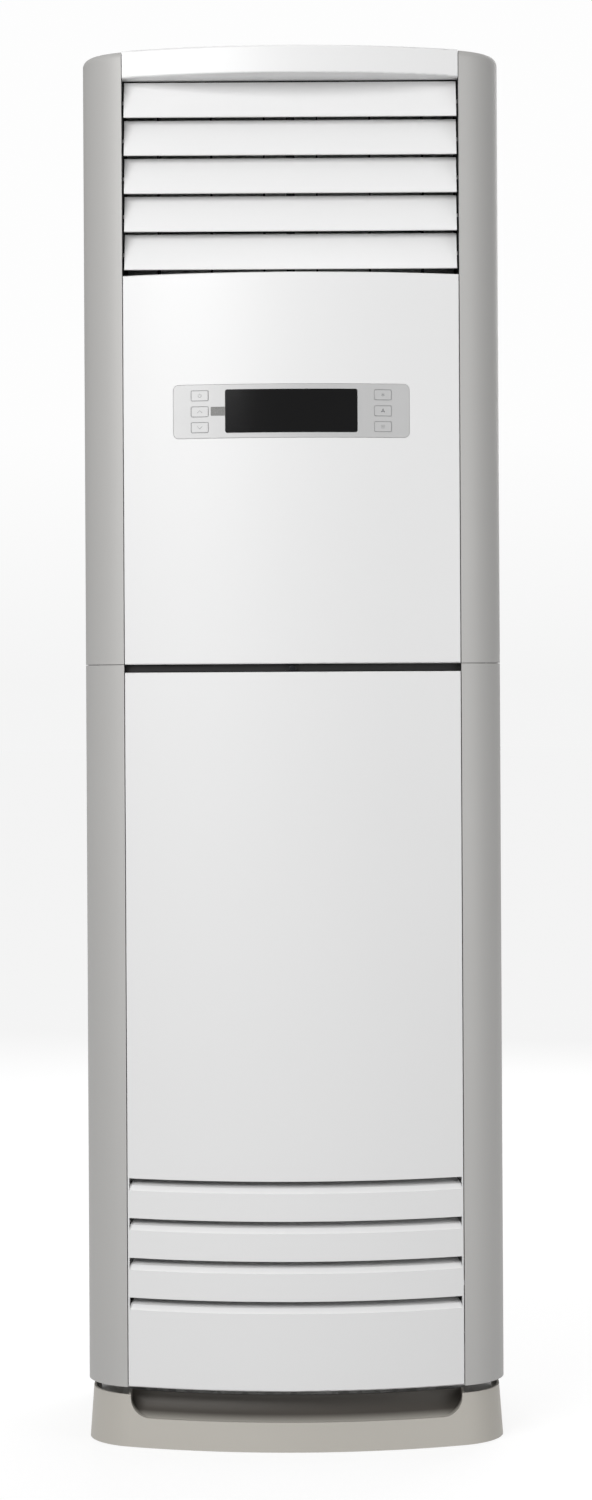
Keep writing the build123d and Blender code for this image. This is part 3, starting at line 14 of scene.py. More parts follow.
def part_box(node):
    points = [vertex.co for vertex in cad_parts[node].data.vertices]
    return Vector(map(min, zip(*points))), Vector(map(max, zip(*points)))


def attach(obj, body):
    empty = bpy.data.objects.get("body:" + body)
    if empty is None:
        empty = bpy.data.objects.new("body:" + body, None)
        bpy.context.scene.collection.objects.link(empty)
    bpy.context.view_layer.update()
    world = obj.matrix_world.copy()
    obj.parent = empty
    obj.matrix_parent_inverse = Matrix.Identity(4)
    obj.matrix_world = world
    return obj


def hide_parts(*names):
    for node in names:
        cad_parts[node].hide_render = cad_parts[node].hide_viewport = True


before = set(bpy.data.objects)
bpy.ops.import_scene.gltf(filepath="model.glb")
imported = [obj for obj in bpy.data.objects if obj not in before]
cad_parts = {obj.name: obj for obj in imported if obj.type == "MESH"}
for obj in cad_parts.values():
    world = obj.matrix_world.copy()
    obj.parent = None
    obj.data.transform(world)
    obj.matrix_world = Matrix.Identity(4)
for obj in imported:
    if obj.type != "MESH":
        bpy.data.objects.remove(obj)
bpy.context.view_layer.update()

# %% [markdown]
# ## Measures
# All places come from a few millimetre values of the cabinet, so the sizes below are written once and
# turned to metres by one factor. The front of the cabinet is part of a large cylinder whose axis stands
# behind the back, so one function gives the front's depth and its turn at any distance from the middle.

# %% The front's own curve
MM = 0.001
front_axis_y = 416.6 * MM
key_face_radius = 625.95 * MM


def on_front(x, radius):
    """The depth of the curved front at x, and the angle that the surface is turned by there."""
    return front_axis_y - math.sqrt(radius**2 - x**2), math.asin(x / radius)


print("the front's middle is at y =", round(on_front(0, key_face_radius)[0], 4))

# %% [markdown]
# ## The camera's place
# The picture was taken with a long lens from straight ahead, a finger's breadth off the middle line and at
# about 1 m above the floor, so upright edges stay upright. The camera is therefore level, and the small
# shift of the lens, not a tilt, brings the whole cabinet into the tall picture. The picture hangs a third
# of a degree out of true, which is put into the camera as a roll.

# %% Camera
camera_away = 4.5
camera_turn = math.radians(0.2)
camera_height = 1.001
front_middle = Vector((0, -209 * MM, 0))
camera_data = bpy.data.cameras.new("picture_camera")
camera_data.lens = 83.4
camera_data.shift_x = 0.0022
camera_data.shift_y = -0.0467
camera_data.clip_end = 100
camera = bpy.data.objects.new("picture_camera", camera_data)
bpy.context.scene.collection.objects.link(camera)
camera_place = front_middle + camera_away * Vector((math.sin(camera_turn), -math.cos(camera_turn), 0))
camera_place.z = camera_height
level_view = Matrix.Rotation(camera_turn, 4, "Z") @ Matrix.Rotation(math.radians(90), 4, "X")
camera_roll = math.radians(-0.30)
camera.matrix_world = Matrix.Translation(camera_place) @ level_view @ Matrix.Rotation(camera_roll, 4, "Z")
bpy.context.scene.camera = camera
bpy.context.scene.view_settings.view_transform = "Standard"
print("camera at", [round(v, 3) for v in camera_place])

# %% [markdown]
# ## Adding shader nodes
# A finish is a small network of nodes round one Principled shader. Two helpers keep that short: one turns
# a colour picked as sRGB hex into the linear light that the renderer works in, and one adds any node with
# its settings and its links.

# %% Colour and node helpers
def linear(hex_colour):
    """Linear RGBA from an sRGB colour such as '#E8E8E6'."""
    parts = [int(hex_colour[i : i + 2], 16) / 255 for i in (1, 3, 5)]
    return [p / 12.92 if p <= 0.04045 else ((p + 0.055) / 1.055) ** 2.4 for p in parts] + [1.0]


def add_node(material, kind, settings=None, links=None):
    """Adds a node of that kind. Settings name its options or its sockets, links feed sockets from others."""
    node = material.node_tree.nodes.new(kind)
    options = [n for n in (settings or {}) if n not in node.inputs]
    for name in options:
        setattr(node, name, settings[name])
    for name in (settings or {}):
        if name in node.inputs:
            node.inputs[name].default_value = settings[name]
    for name, output in (links or {}).items():
        material.node_tree.links.new(output, node.inputs[name])
    return node


def new_finish(name, **sockets):
    """A material of that name, its Principled shader with these sockets set, and its object coordinates."""
    material = bpy.data.materials.new(name)
    material.use_nodes = True
    shader = material.node_tree.nodes["Principled BSDF"]
    for socket, value in sockets.items():
        shader.inputs[socket.replace("_", " ")].default_value = value
    place = add_node(material, "ShaderNodeTexCoord").outputs["Object"]
    return material, shader, place


def feed(material, shader, socket, output):
    """Joins an output to one of the shader's sockets."""
    material.node_tree.links.new(output, shader.inputs[socket])


print("white panel, linear:", [round(c, 3) for c in linear("#F0F0EF")])

# %% [markdown]
# ## Two tones and a grain
# Nearly every moulded or painted surface here has the same two things: a base colour that drifts by a
# hair over a hand's width, and a fine grain that breaks up the highlight. Both are noise in object
# coordinates, one coarse and one fine, so one function gives them to any finish.

# %% Tone drift and surface grain
def tone_and_grain(material, shader, place, tones, drift, grain, depth, rough=None):
    """Colour drifts between two tones over `drift` metres; bumps `grain` metres wide are `depth` deep."""
    slow = add_node(material, "ShaderNodeTexNoise", {"Scale": 1 / drift, "Detail": 3.0}, {"Vector": place})
    mix = add_node(material, "ShaderNodeMix", {"data_type": "RGBA"})
    mix.inputs[6].default_value = linear(tones[0])
    mix.inputs[7].default_value = linear(tones[1])
    material.node_tree.links.new(slow.outputs["Fac"], mix.inputs[0])
    feed(material, shader, "Base Color", mix.outputs[2])
    fine = add_node(material, "ShaderNodeTexNoise", {"Scale": 1 / grain, "Detail": 2.0}, {"Vector": place})
    bump = add_node(material, "ShaderNodeBump", {"Distance": depth, "Strength": 1.0},
                    {"Height": fine.outputs["Fac"]})
    feed(material, shader, "Normal", bump.outputs["Normal"])
    if rough:
        sheen = add_node(material, "ShaderNodeMapRange", {"To Min": rough[0], "To Max": rough[1]},
                         {"Value": slow.outputs["Fac"]})
        feed(material, shader, "Roughness", sheen.outputs["Result"])


def lay_over(material, shader, factors, tone):
    """Lays another tone over the base colour by the product of the factors, and returns that product."""
    under = shader.inputs["Base Color"].links[0].from_socket
    links = material.node_tree.links
    cover = factors[0]
    for factor in factors[1:]:
        product = add_node(material, "ShaderNodeMath", {"operation": "MULTIPLY"})
        links.new(cover, product.inputs[0])
        links.new(factor, product.inputs[1])
        cover = product.outputs["Value"]
    mix = add_node(material, "ShaderNodeMix", {"data_type": "RGBA"})
    links.new(cover, mix.inputs[0])
    links.new(under, mix.inputs[6])
    mix.inputs[7].default_value = linear(tone)
    feed(material, shader, "Base Color", mix.outputs[2])
    return cover


def ramp(material, value, start, end):
    """A factor that runs from 0 where value is start to 1 where it is end."""
    node = add_node(material, "ShaderNodeMapRange", {"From Min": start, "From Max": end}, {"Value": value})
    return node.outputs["Result"]


def near(material, value, middle, inside, outside):
    """A factor that is 1 within `inside` of the middle and 0 past `outside` of it."""
    away = add_node(material, "ShaderNodeMath", {"operation": "SUBTRACT"})
    material.node_tree.links.new(value, away.inputs[0])
    away.inputs[1].default_value = middle
    distance = add_node(material, "ShaderNodeMath", {"operation": "ABSOLUTE"})
    material.node_tree.links.new(away.outputs["Value"], distance.inputs[0])
    return ramp(material, distance.outputs["Value"], outside, inside)


finishes = {}

# %% [markdown]
# ## White front: satin ABS
# Header, slats and both panels are injection moulded ABS in a cool white, with the fine spark-eroded
# grain of the mould. The grain gives a wide, soft sheen instead of a mirror image. Real grain is a tenth
# of a millimetre, too fine for the picture, so it is drawn 4 mm wide and very shallow.

# %% Satin white ABS
satin_abs, shader, place = new_finish("satin_white_moulded_abs", IOR=1.53, Metallic=0.0)
tone_and_grain(satin_abs, shader, place, ("#F1F1F1", "#EEEEEE"), 0.25, 4 * MM, 0.01 * MM, (0.36, 0.42))
finishes["white_abs"] = satin_abs
print(satin_abs.name)

# %% [markdown]
# ## Silver trims: metallic lacquer on ABS
# The rounded side trims are moulded and then sprayed with a silver lacquer. Its flakes make it part metal
# to the eye: it brightens towards the light and darkens where it turns away. The bezel has a paler mix of
# it and the plinth a warmer one.

# %% Silver lacquer
silver, shader, place = new_finish("silver_flake_lacquer_on_abs", IOR=1.5, Metallic=0.2)
tone_and_grain(silver, shader, place, ("#BEBDBB", "#BAB9B7"), 0.18, 2.5 * MM, 0.012 * MM, (0.50, 0.56))
finishes["silver_trim"] = silver
bezel_lacquer, shader, place = new_finish("pale_silver_lacquer_on_bezel", IOR=1.5, Metallic=0.3)
tone_and_grain(bezel_lacquer, shader, place, ("#C4C4C4", "#C0C0C0"), 0.05, 2 * MM, 0.01 * MM, (0.48, 0.52))
finishes["bezel_silver"] = bezel_lacquer
plinth_lacquer, shader, place = new_finish("warm_silver_lacquer_on_plinth", IOR=1.5, Metallic=0.15)
tone_and_grain(plinth_lacquer, shader, place, ("#C4C0B8", "#BEBAB2"), 0.2, 2.5 * MM, 0.012 * MM, (0.44, 0.52))
finishes["warm_grey_plinth"] = plinth_lacquer
print(silver.name, bezel_lacquer.name, plinth_lacquer.name)

# %% [markdown]
# ## Painted shade deep in the scoop
# The scoop under the panel lies in the panel's shade, and that shade is painted into the plinth's colour
# as a dark tone over the lacquer. The scoop's surface lies deeper behind the curved front the higher it
# goes, so the distance from the front's axis says how dark the painted shade is. Two more ranges keep
# the painted shade between the scoop's ends and away from the plinth's back.

# %% Painted shade in the scoop
painted_shade_starts = 613 * MM
painted_shade_full_at = 598 * MM
scoop_half = 216 * MM
scoop_blend = 1.6 * MM
scoop_back_y, scoop_front_y = -90 * MM, -110 * MM
at = add_node(plinth_lacquer, "ShaderNodeSeparateXYZ", None, {"Vector": place})
level = add_node(plinth_lacquer, "ShaderNodeCombineXYZ", None, {"X": at.outputs["X"], "Y": at.outputs["Y"]})
reach = add_node(plinth_lacquer, "ShaderNodeVectorMath", {"operation": "DISTANCE"})
plinth_lacquer.node_tree.links.new(level.outputs["Vector"], reach.inputs[0])
reach.inputs[1].default_value = (0, front_axis_y, 0)
deep = ramp(plinth_lacquer, reach.outputs["Value"], painted_shade_starts, painted_shade_full_at)
between_ends = near(plinth_lacquer, at.outputs["X"], 0, scoop_half, scoop_half + scoop_blend)
in_front = ramp(plinth_lacquer, at.outputs["Y"], scoop_back_y, scoop_front_y)
# Lays the painted shade of the scoop, a dark tone, over the plinth's lacquer.
lay_over(plinth_lacquer, shader, (deep, between_ends, in_front), "#57534E")
print("the scoop turns dark over", round((painted_shade_starts - painted_shade_full_at) / MM, 1), "mm")

# %% [markdown]
# ## Dark and grey mouldings
# The outlet frame, its vanes and the rail in the gap are black ABS, the fan wheel and the drain pan mid
# grey glass-filled plastic, and the filter is nylon. None of them is polished.

# %% Dark, grey and net plastics
dark_abs, shader, place = new_finish("black_grained_abs", IOR=1.53)
tone_and_grain(dark_abs, shader, place, ("#0B0B0C", "#101011"), 0.1, 3 * MM, 0.02 * MM, (0.66, 0.76))
finishes["dark_plastic"] = dark_abs
grey_plastic, shader, place = new_finish("grey_glass_filled_plastic", IOR=1.52)
tone_and_grain(grey_plastic, shader, place, ("#9A9C9E", "#8F9193"), 0.08, 3 * MM, 0.03 * MM, (0.45, 0.58))
finishes["grey_abs"] = grey_plastic
nylon, shader, place = new_finish("nylon_filter_moulding", IOR=1.53)
tone_and_grain(nylon, shader, place, ("#4A4F58", "#414650"), 0.06, 3 * MM, 0.02 * MM, (0.5, 0.6))
finishes["filter_net"] = nylon
print(dark_abs.name, grey_plastic.name, nylon.name)

# %% [markdown]
# ## The filter's net
# Between the filter's bars lies a woven net. Its real mesh is 1 mm wide, too fine for any picture of the
# whole cabinet, so it is drawn 4 mm wide: two wave patterns, one for each direction of the threads, and
# dark openings where neither has a thread. A band of the wave texture repeats every 2 pi / 20 of its
# scaled coordinate, which gives the scale below. The net lies in the middle of the filter's thickness, so
# its depth keeps the pattern off the bars.

# %% Woven net
net_y = -107.5 * MM
mesh_width = 4 * MM
wave_scale = 2 * math.pi / (20 * mesh_width)
thread_edge, opening_edge = 0.62, 0.45
net_half, bar_face = 1.4 * MM, 1.6 * MM
at = add_node(nylon, "ShaderNodeSeparateXYZ", None, {"Vector": place})
threads = []
for direction in ("X", "Z"):
    wave = add_node(nylon, "ShaderNodeTexWave", {"bands_direction": direction, "Scale": wave_scale},
                    {"Vector": place})
    threads.append(ramp(nylon, wave.outputs["Fac"], thread_edge, opening_edge))
in_net = near(nylon, at.outputs["Y"], net_y, net_half, bar_face)
lay_over(nylon, shader, (threads[0], threads[1], in_net), "#1B1E23")
print("net drawn", mesh_width / MM, "mm wide")

# %% [markdown]
# ## Sheet metal
# The sides and the top are steel with a white powder coat, whose skin is slightly wavy like an orange's.
# The back plate, the base pan, the fan's scroll and the inner decks are bare galvanised sheet: zinc
# freezes in flat crystals about a centimetre wide, each with its own grey, so a Voronoi pattern draws
# them.

# %% Powder coat and galvanised sheet
powder, shader, place = new_finish("white_powder_coated_steel", IOR=1.5)
tone_and_grain(powder, shader, place, ("#E6E6E4", "#E2E2E0"), 0.3, 3 * MM, 0.03 * MM, (0.42, 0.5))
finishes["painted_steel"] = powder
crystal_width = 8 * MM


def galvanised(name):
    """Bare sheet whose flat zinc crystals each have their own grey and their own sheen."""
    sheet, shader, place = new_finish(name, Metallic=1.0)
    crystal = add_node(sheet, "ShaderNodeTexVoronoi", {"Scale": 1 / crystal_width}, {"Vector": place})
    grey = add_node(sheet, "ShaderNodeRGBToBW", None, {"Color": crystal.outputs["Color"]}).outputs["Val"]
    tone = add_node(sheet, "ShaderNodeMapRange", {"To Min": 0.36, "To Max": 0.50}, {"Value": grey})
    feed(sheet, shader, "Base Color", tone.outputs["Result"])
    sheen = add_node(sheet, "ShaderNodeMapRange", {"To Min": 0.32, "To Max": 0.5}, {"Value": grey})
    feed(sheet, shader, "Roughness", sheen.outputs["Result"])
    return sheet, shader, place


finishes["galvanised_steel"] = galvanised("galvanised_sheet_with_spangle")[0]
print(powder.name, finishes["galvanised_steel"].name)

# %% [markdown]
# ## Black terminals in the electric box
# The electric box is bent from the same sheet, and the terminal block in it is black plastic. The two are
# one solid, so the distances from the block's middle tell plastic from sheet, and the same factor takes
# the metal out of the shader there.

# %% Black terminals on galvanised sheet
box_sheet, shader, place = galvanised("galvanised_box_with_black_terminals")
box_wall = 1.5 * MM
box_face_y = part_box("electric_box")[1].y - box_wall
block_x, block_z = 105 * MM, 1092 * MM
block_half_width, block_half_height = 48.1 * MM, 10.1 * MM
clear, blend = 0.1 * MM, 0.2 * MM
at = add_node(box_sheet, "ShaderNodeSeparateXYZ", None, {"Vector": place})
in_block = near(box_sheet, at.outputs["X"], block_x, block_half_width, block_half_width + blend)
in_row = near(box_sheet, at.outputs["Z"], block_z, block_half_height, block_half_height + blend)
off_sheet = ramp(box_sheet, at.outputs["Y"], box_face_y - clear, box_face_y - clear - blend)
plastic = lay_over(box_sheet, shader, (in_block, in_row, off_sheet), "#1C1D1F")
feed(box_sheet, shader, "Metallic", ramp(box_sheet, plastic, 1, 0))
print("box face at y =", round(box_face_y, 4))

# %% [markdown]
# ## Display window: smoked acrylic
# The window is black because the acrylic is tinted and the space behind it is dark. It is polished, so
# what shows is a faint mirror image of the room.

# %% Smoked acrylic
acrylic, shader, place = new_finish("smoked_polished_acrylic", IOR=1.49)
tone_and_grain(acrylic, shader, place, ("#030304", "#050506"), 0.1, 30 * MM, 0.002 * MM, (0.10, 0.14))
finishes["smoked_lens"] = acrylic
print(acrylic.name)

# %% [markdown]
# ## Receiver window
# Left of the display is the small window that the remote control's infrared light goes through. It is
# milky grey plastic with a fine speckle, drawn as noise a millimetre or two wide whose tones lie further
# apart than in the other finishes.

# %% Speckled grey window
milky, shader, place = new_finish("milky_grey_infrared_window", IOR=1.49)
tone_and_grain(milky, shader, place, ("#939391", "#5D5D5B"), 1.6 * MM, 1 * MM, 0.004 * MM, (0.35, 0.45))
print(milky.name)

# %% [markdown]
# ## Metals inside
# Behind the panels are the coil of aluminium fins and copper tubes, brass flare nuts, a bright steel
# shaft and the painted motor.

# %% Aluminium, copper, brass, steel and motor paint
fin, shader, place = new_finish("rolled_aluminium_fin", Metallic=1.0)
tone_and_grain(fin, shader, place, ("#D6D9DB", "#CACDCF"), 0.03, 2 * MM, 0.01 * MM, (0.3, 0.42))
finishes["aluminium_fin"] = fin
copper, shader, place = new_finish("drawn_copper_tube", Metallic=1.0)
tone_and_grain(copper, shader, place, ("#D08B62", "#B8734E"), 0.04, 2 * MM, 0.008 * MM, (0.22, 0.4))
finishes["copper_tube"] = copper
brass, shader, place = new_finish("turned_brass", Metallic=1.0)
tone_and_grain(brass, shader, place, ("#D8B66A", "#C7A257"), 0.02, 1 * MM, 0.006 * MM, (0.2, 0.32))
finishes["brass_nut"] = brass
bright_steel, shader, place = new_finish("bright_zinc_plated_steel", Metallic=1.0)
tone_and_grain(bright_steel, shader, place, ("#C9CBCD", "#B9BBBE"), 0.01, 1 * MM, 0.006 * MM, (0.22, 0.34))
finishes["steel_shaft"] = bright_steel
motor_paint, shader, place = new_finish("dark_enamel_on_motor", IOR=1.5)
tone_and_grain(motor_paint, shader, place, ("#4B4E52", "#44474B"), 0.05, 2 * MM, 0.02 * MM, (0.35, 0.45))
finishes["motor_case"] = motor_paint
print(fin.name, copper.name, brass.name, bright_steel.name, motor_paint.name)

# %% [markdown]
# ## Circuit boards
# A circuit board is glass epoxy under green solder mask, and what is soldered on it is mostly black
# plastic. Both boards lie flat behind the front with their parts towards it, so all that stands off the
# sheet's front face gets the dark tone.

# %% Green boards with dark parts
board_sheet = 1.6 * MM
board_finish = {}
for name in ("control_board", "display_board"):
    board, shader, place = new_finish("solder_masked_" + name, IOR=1.5)
    tone_and_grain(board, shader, place, ("#1F5A35", "#18492B"), 0.02, 1.2 * MM, 0.01 * MM, (0.3, 0.4))
    at = add_node(board, "ShaderNodeSeparateXYZ", None, {"Vector": place})
    face_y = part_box(name)[1].y - board_sheet
    off_face = ramp(board, at.outputs["Y"], face_y - clear, face_y - clear - blend)
    lay_over(board, shader, (off_face,), "#222326")
    board_finish[name] = board
print("boards:", list(board_finish))

# %% [markdown]
# ## Painting the solids
# The CAD file names a material for each solid, and those names pick the finish. The receiver window, the
# electric box and the two boards have a finish of their own, so they are picked by their own names.

# %% Paint every CAD node
finish_by_node = {"receiver_window": milky, "electric_box": box_sheet, **board_finish}
for name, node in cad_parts.items():
    slot_name = node.data.materials[0].name.split(".")[0]
    finish = finish_by_node.get(name, finishes.get(slot_name))
    if finish is None:
        print("no finish for", name, slot_name)
        continue
    for i in range(len(node.data.materials)):
        node.data.materials[i] = finish
print("painted", len(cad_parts), "nodes")

# %% [markdown]
# ## Flat shapes for the key marks
# Each of the six keys carries a printed frame and a small sign. Printed ink could be a pattern in the
# key's finish, but thin plates stay sharp in every view, so the ink is modelled: a bar or a ring is
# added flat, shaped in edit mode, and given a sixth of a millimetre of thickness at the end.

# %% Bars, rings and ink
INK_DEPTH = 0.16 * MM
quarter_turn = math.radians(90)


def pick_only(*objects):
    """Leaves just these objects selected, the first of them active."""
    bpy.ops.object.select_all(action="DESELECT")
    for item in objects:
        item.select_set(True)
    bpy.context.view_layer.objects.active = objects[0]


def flat_bar(width, height, x=0.0, z=0.0, turn=0.0):
    """A flat bar that faces the front, turned in its own plane."""
    bpy.ops.object.select_all(action="DESELECT")
    bpy.ops.mesh.primitive_plane_add(size=1, location=(x, 0, z), rotation=(quarter_turn, turn, 0))
    bar = bpy.context.object
    bar.scale = (width, height, 1)
    bpy.ops.object.transform_apply(location=True, rotation=True, scale=True)
    return bar


def round_corners(shape, radius):
    """Rounds the corners of a flat shape."""
    pick_only(shape)
    bpy.ops.object.mode_set(mode="EDIT")
    bpy.ops.mesh.select_all(action="SELECT")
    bpy.ops.mesh.bevel(offset=radius, segments=4, affect="VERTICES")
    bpy.ops.object.mode_set(mode="OBJECT")
    return shape


def open_inside(shape, stroke):
    """Insets the one face of a flat shape by the stroke and takes out the middle."""
    pick_only(shape)
    bpy.ops.object.mode_set(mode="EDIT")
    bpy.ops.mesh.select_all(action="SELECT")
    bpy.ops.mesh.inset(thickness=stroke)
    bpy.ops.mesh.delete(type="FACE")
    bpy.ops.object.mode_set(mode="OBJECT")
    return shape


def flat_ring(radius, stroke):
    """A flat ring that faces the front."""
    bpy.ops.object.select_all(action="DESELECT")
    bpy.ops.mesh.primitive_circle_add(vertices=32, radius=radius, fill_type="NGON",
                                      rotation=(quarter_turn, 0, 0))
    bpy.ops.object.transform_apply(location=True, rotation=True, scale=True)
    return open_inside(bpy.context.object, stroke)


def cut_away(shape, inside):
    """Deletes the faces of a flat shape whose middle passes a test."""
    pick_only(shape)
    bpy.ops.object.mode_set(mode="EDIT")
    bpy.ops.mesh.select_all(action="DESELECT")
    bpy.ops.object.mode_set(mode="OBJECT")
    for face in shape.data.polygons:
        face.select = inside(face.center)
    bpy.ops.object.mode_set(mode="EDIT")
    bpy.ops.mesh.delete(type="FACE")
    bpy.ops.object.mode_set(mode="OBJECT")
    return shape


print("ink is", INK_DEPTH / MM, "mm thick")

# %% [markdown]
# ## Six plain signs
# Each key's sign says what it does: a switch-on sign, an arrow up and an arrow down on the left, and a
# snow crystal for the mode, a fan for its speed and a list for more functions on the right. An arrow is a
# bar that is cut once and lifted in its middle; the others are bars and rings laid over one another.

# %% Signs
stroke = 0.42 * MM
sign_half = 2.3 * MM
arrow_lift = 3.4 * MM
vane_slant = math.radians(20)


def switch_sign():
    """A ring that is open at its top, with a short bar in the opening."""
    ring = cut_away(flat_ring(sign_half, stroke), lambda c: c.z > 0.75 * sign_half)
    return [ring, flat_bar(stroke, 0.95 * sign_half, 0, 0.75 * sign_half)]


def arrow_sign(lift):
    """A bar cut in its middle, which is then lifted or lowered."""
    bar = flat_bar(3.0 * sign_half, 1.4 * stroke, 0, -lift / 2)
    pick_only(bar)
    bpy.ops.object.mode_set(mode="EDIT")
    bpy.ops.mesh.select_all(action="SELECT")
    bpy.ops.mesh.subdivide(number_cuts=1)
    bpy.ops.mesh.select_all(action="DESELECT")
    bpy.ops.object.mode_set(mode="OBJECT")
    for vertex in bar.data.vertices:
        vertex.select = abs(vertex.co.x) < 0.1 * stroke
    bpy.ops.object.mode_set(mode="EDIT")
    bpy.ops.transform.translate(value=(0, 0, lift))
    bpy.ops.object.mode_set(mode="OBJECT")
    return [bar]


def crystal_sign():
    """Three bars across one another."""
    return [flat_bar(stroke, 2.2 * sign_half, turn=math.radians(60 * i)) for i in range(3)]


def fan_sign():
    """A small ring with three slanted vanes round it."""
    parts = [flat_ring(0.4 * sign_half, 0.3 * sign_half)]
    for i in range(3):
        angle = quarter_turn + math.radians(120 * i)
        reach = 0.75 * sign_half
        parts.append(flat_bar(0.62 * sign_half, 0.95 * sign_half, reach * math.cos(angle),
                              reach * math.sin(angle), quarter_turn + vane_slant - angle))
    return parts


def list_sign():
    """Three bars above one another."""
    return [flat_bar(2.2 * sign_half, stroke, 0, 0.75 * sign_half * row) for row in (-1, 0, 1)]


print("signs are", round(2 * sign_half / MM, 1), "mm high")

# %% [markdown]
# ## Laying the ink on the keys
# The keys' faces are curved, but over the 23 mm of one key the curve is only a tenth of a millimetre
# deep, so a flat mark that is turned to face the same way as the key lies in it without a gap. Each
# mark rides with its key, so it goes in when the key is pressed. The frame's corners are rounded like
# the key's, so a pressed mark stays clear of the opening in the bezel.

# %% Key marks
key_x = 119.0 * MM
key_rows = (1370.5 * MM, 1349.7 * MM, 1329.2 * MM)
frame_width = 22.4 * MM
frame_height = 13.1 * MM
frame_corner = 1.3 * MM
frame_stroke = 0.34 * MM
ink_lift = 0.05 * MM
ink, shader, place = new_finish("grey_printing_ink", IOR=1.5)
tone_and_grain(ink, shader, place, ("#77797B", "#6E7072"), 0.02, 0.8 * MM, 0.004 * MM, (0.5, 0.6))


def print_key(number, parts, x, z):
    """Joins a frame and a sign, thickens them and lays them on their key."""
    outline = open_inside(round_corners(flat_bar(frame_width, frame_height), frame_corner),
                          frame_stroke)
    pick_only(outline, *parts)
    bpy.ops.object.join()
    mark = bpy.context.object
    mark.name = "key_mark_" + str(number)
    thick = mark.modifiers.new("ink", "SOLIDIFY")
    thick.thickness = INK_DEPTH
    thick.offset = -1
    bpy.ops.object.modifier_apply(modifier=thick.name)
    y, turn = on_front(x, key_face_radius)
    mark.location = (x, y - ink_lift, z)
    mark.rotation_euler = (0, 0, turn)
    bpy.ops.object.transform_apply(location=True, rotation=True, scale=True)
    mark.data.materials.append(ink)
    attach(mark, "key_" + str(number))


signs = [switch_sign(), arrow_sign(arrow_lift), arrow_sign(-arrow_lift),
         crystal_sign(), fan_sign(), list_sign()]
for i, sign in enumerate(signs):
    print_key(i + 1, sign, -key_x if i < 3 else key_x, key_rows[i % 3])
print("printed", len(signs), "keys")

# %% [markdown]
# ## Cross-head screws
# The back plate is held by pan-head screws with a cross recess, and one more sits in the gap between the
# two front panels and holds the lower one shut. The head is a short cylinder with a bevelled rim, and
# the recess is cut by a cross of two boxes with a Boolean modifier. It is made once and then copied.

# %% One pan-head screw
head_radius = 4.0 * MM
head_height = 1.1 * MM
recess_arm = 0.95 * MM
recess_half = 2.4 * MM


def screw_head(radius, height):
    """A pan head with a cross recess that faces -Y, its foot on the plane y = 0."""
    bpy.ops.object.select_all(action="DESELECT")
    bpy.ops.mesh.primitive_cylinder_add(vertices=32, radius=radius, depth=height,
                                        location=(0, -height / 2, 0), rotation=(quarter_turn, 0, 0))
    head = bpy.context.object
    bpy.ops.object.transform_apply(location=True, rotation=True, scale=True)
    bpy.ops.object.mode_set(mode="EDIT")
    bpy.ops.mesh.select_all(action="DESELECT")
    bpy.ops.object.mode_set(mode="OBJECT")
    for edge in head.data.edges:
        ends = [head.data.vertices[v].co for v in edge.vertices]
        edge.select = all(end.y < -0.9 * height for end in ends)
    bpy.ops.object.mode_set(mode="EDIT")
    bpy.ops.mesh.bevel(offset=0.45 * height, segments=3)
    bpy.ops.object.mode_set(mode="OBJECT")
    for turn in (0, quarter_turn):
        bpy.ops.object.select_all(action="DESELECT")
        bpy.ops.mesh.primitive_cube_add(size=1, location=(0, -height, 0), rotation=(0, turn, 0))
        cutter = bpy.context.object
        scale = radius / head_radius
        cutter.scale = (2 * recess_half * scale, 1.3 * height, recess_arm * scale)
        bpy.ops.object.transform_apply(location=True, rotation=True, scale=True)
        pick_only(head)
        cut = head.modifiers.new("recess", "BOOLEAN")
        cut.operation = "DIFFERENCE"
        cut.solver = "EXACT"
        cut.object = cutter
        bpy.ops.object.modifier_apply(modifier=cut.name)
        bpy.data.objects.remove(cutter)
    pick_only(head)
    bpy.ops.object.shade_smooth_by_angle(angle=math.radians(35))
    return head


def place_copy(piece, name, move):
    """A copy with its own mesh, which keeps the turn and the place that the matrix gives it."""
    copy = piece.copy()
    copy.data = piece.data.copy()
    copy.name = name
    bpy.context.scene.collection.objects.link(copy)
    copy.data.transform(move)
    return copy


screw_foot_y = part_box("cabinet_screws")[0].y
screw_x = 264.5 * MM
screw_rows = [z * MM for z in (110, 420, 730, 1160, 1600, 1780)]
pattern = screw_head(head_radius, head_height)
pattern.data.materials.append(finishes["steel_shaft"])
face_back = Matrix.Rotation(math.radians(180), 4, "Z")
for row, z in enumerate(screw_rows):
    for side in (-1, 1):
        number = 2 * row + (1 if side < 0 else 2)
        screw_place = Matrix.Translation((side * screw_x, screw_foot_y, z))
        screw = place_copy(pattern, "back_screw_" + str(number), screw_place @ face_back)
        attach(screw, "cabinet")
        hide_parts("cabinet_screws")
black_oxide, shader, place = new_finish("blackened_steel_screw", Metallic=1.0)
tone_and_grain(black_oxide, shader, place, ("#26272A", "#2E2F32"), 0.01, 1 * MM, 0.006 * MM, (0.3, 0.42))
catch_place = Matrix.Translation((0, -203.4 * MM, 1016 * MM))
catch_screw = place_copy(pattern, "catch_screw", catch_place)
catch_screw.data.materials[0] = black_oxide
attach(catch_screw, "cabinet")
bpy.data.objects.remove(pattern)
print("back screws stand on y =", round(screw_foot_y, 4))

# %% [markdown]
# ## Rubber edging of the pipe port
# The port for the refrigerant pipes is punched in thin sheet, so its edge is covered with a black rubber
# profile. The two halves of a circle are pulled apart to the port's long shape, which is inset to a ring,
# thickened over both faces of the sheet and rounded.

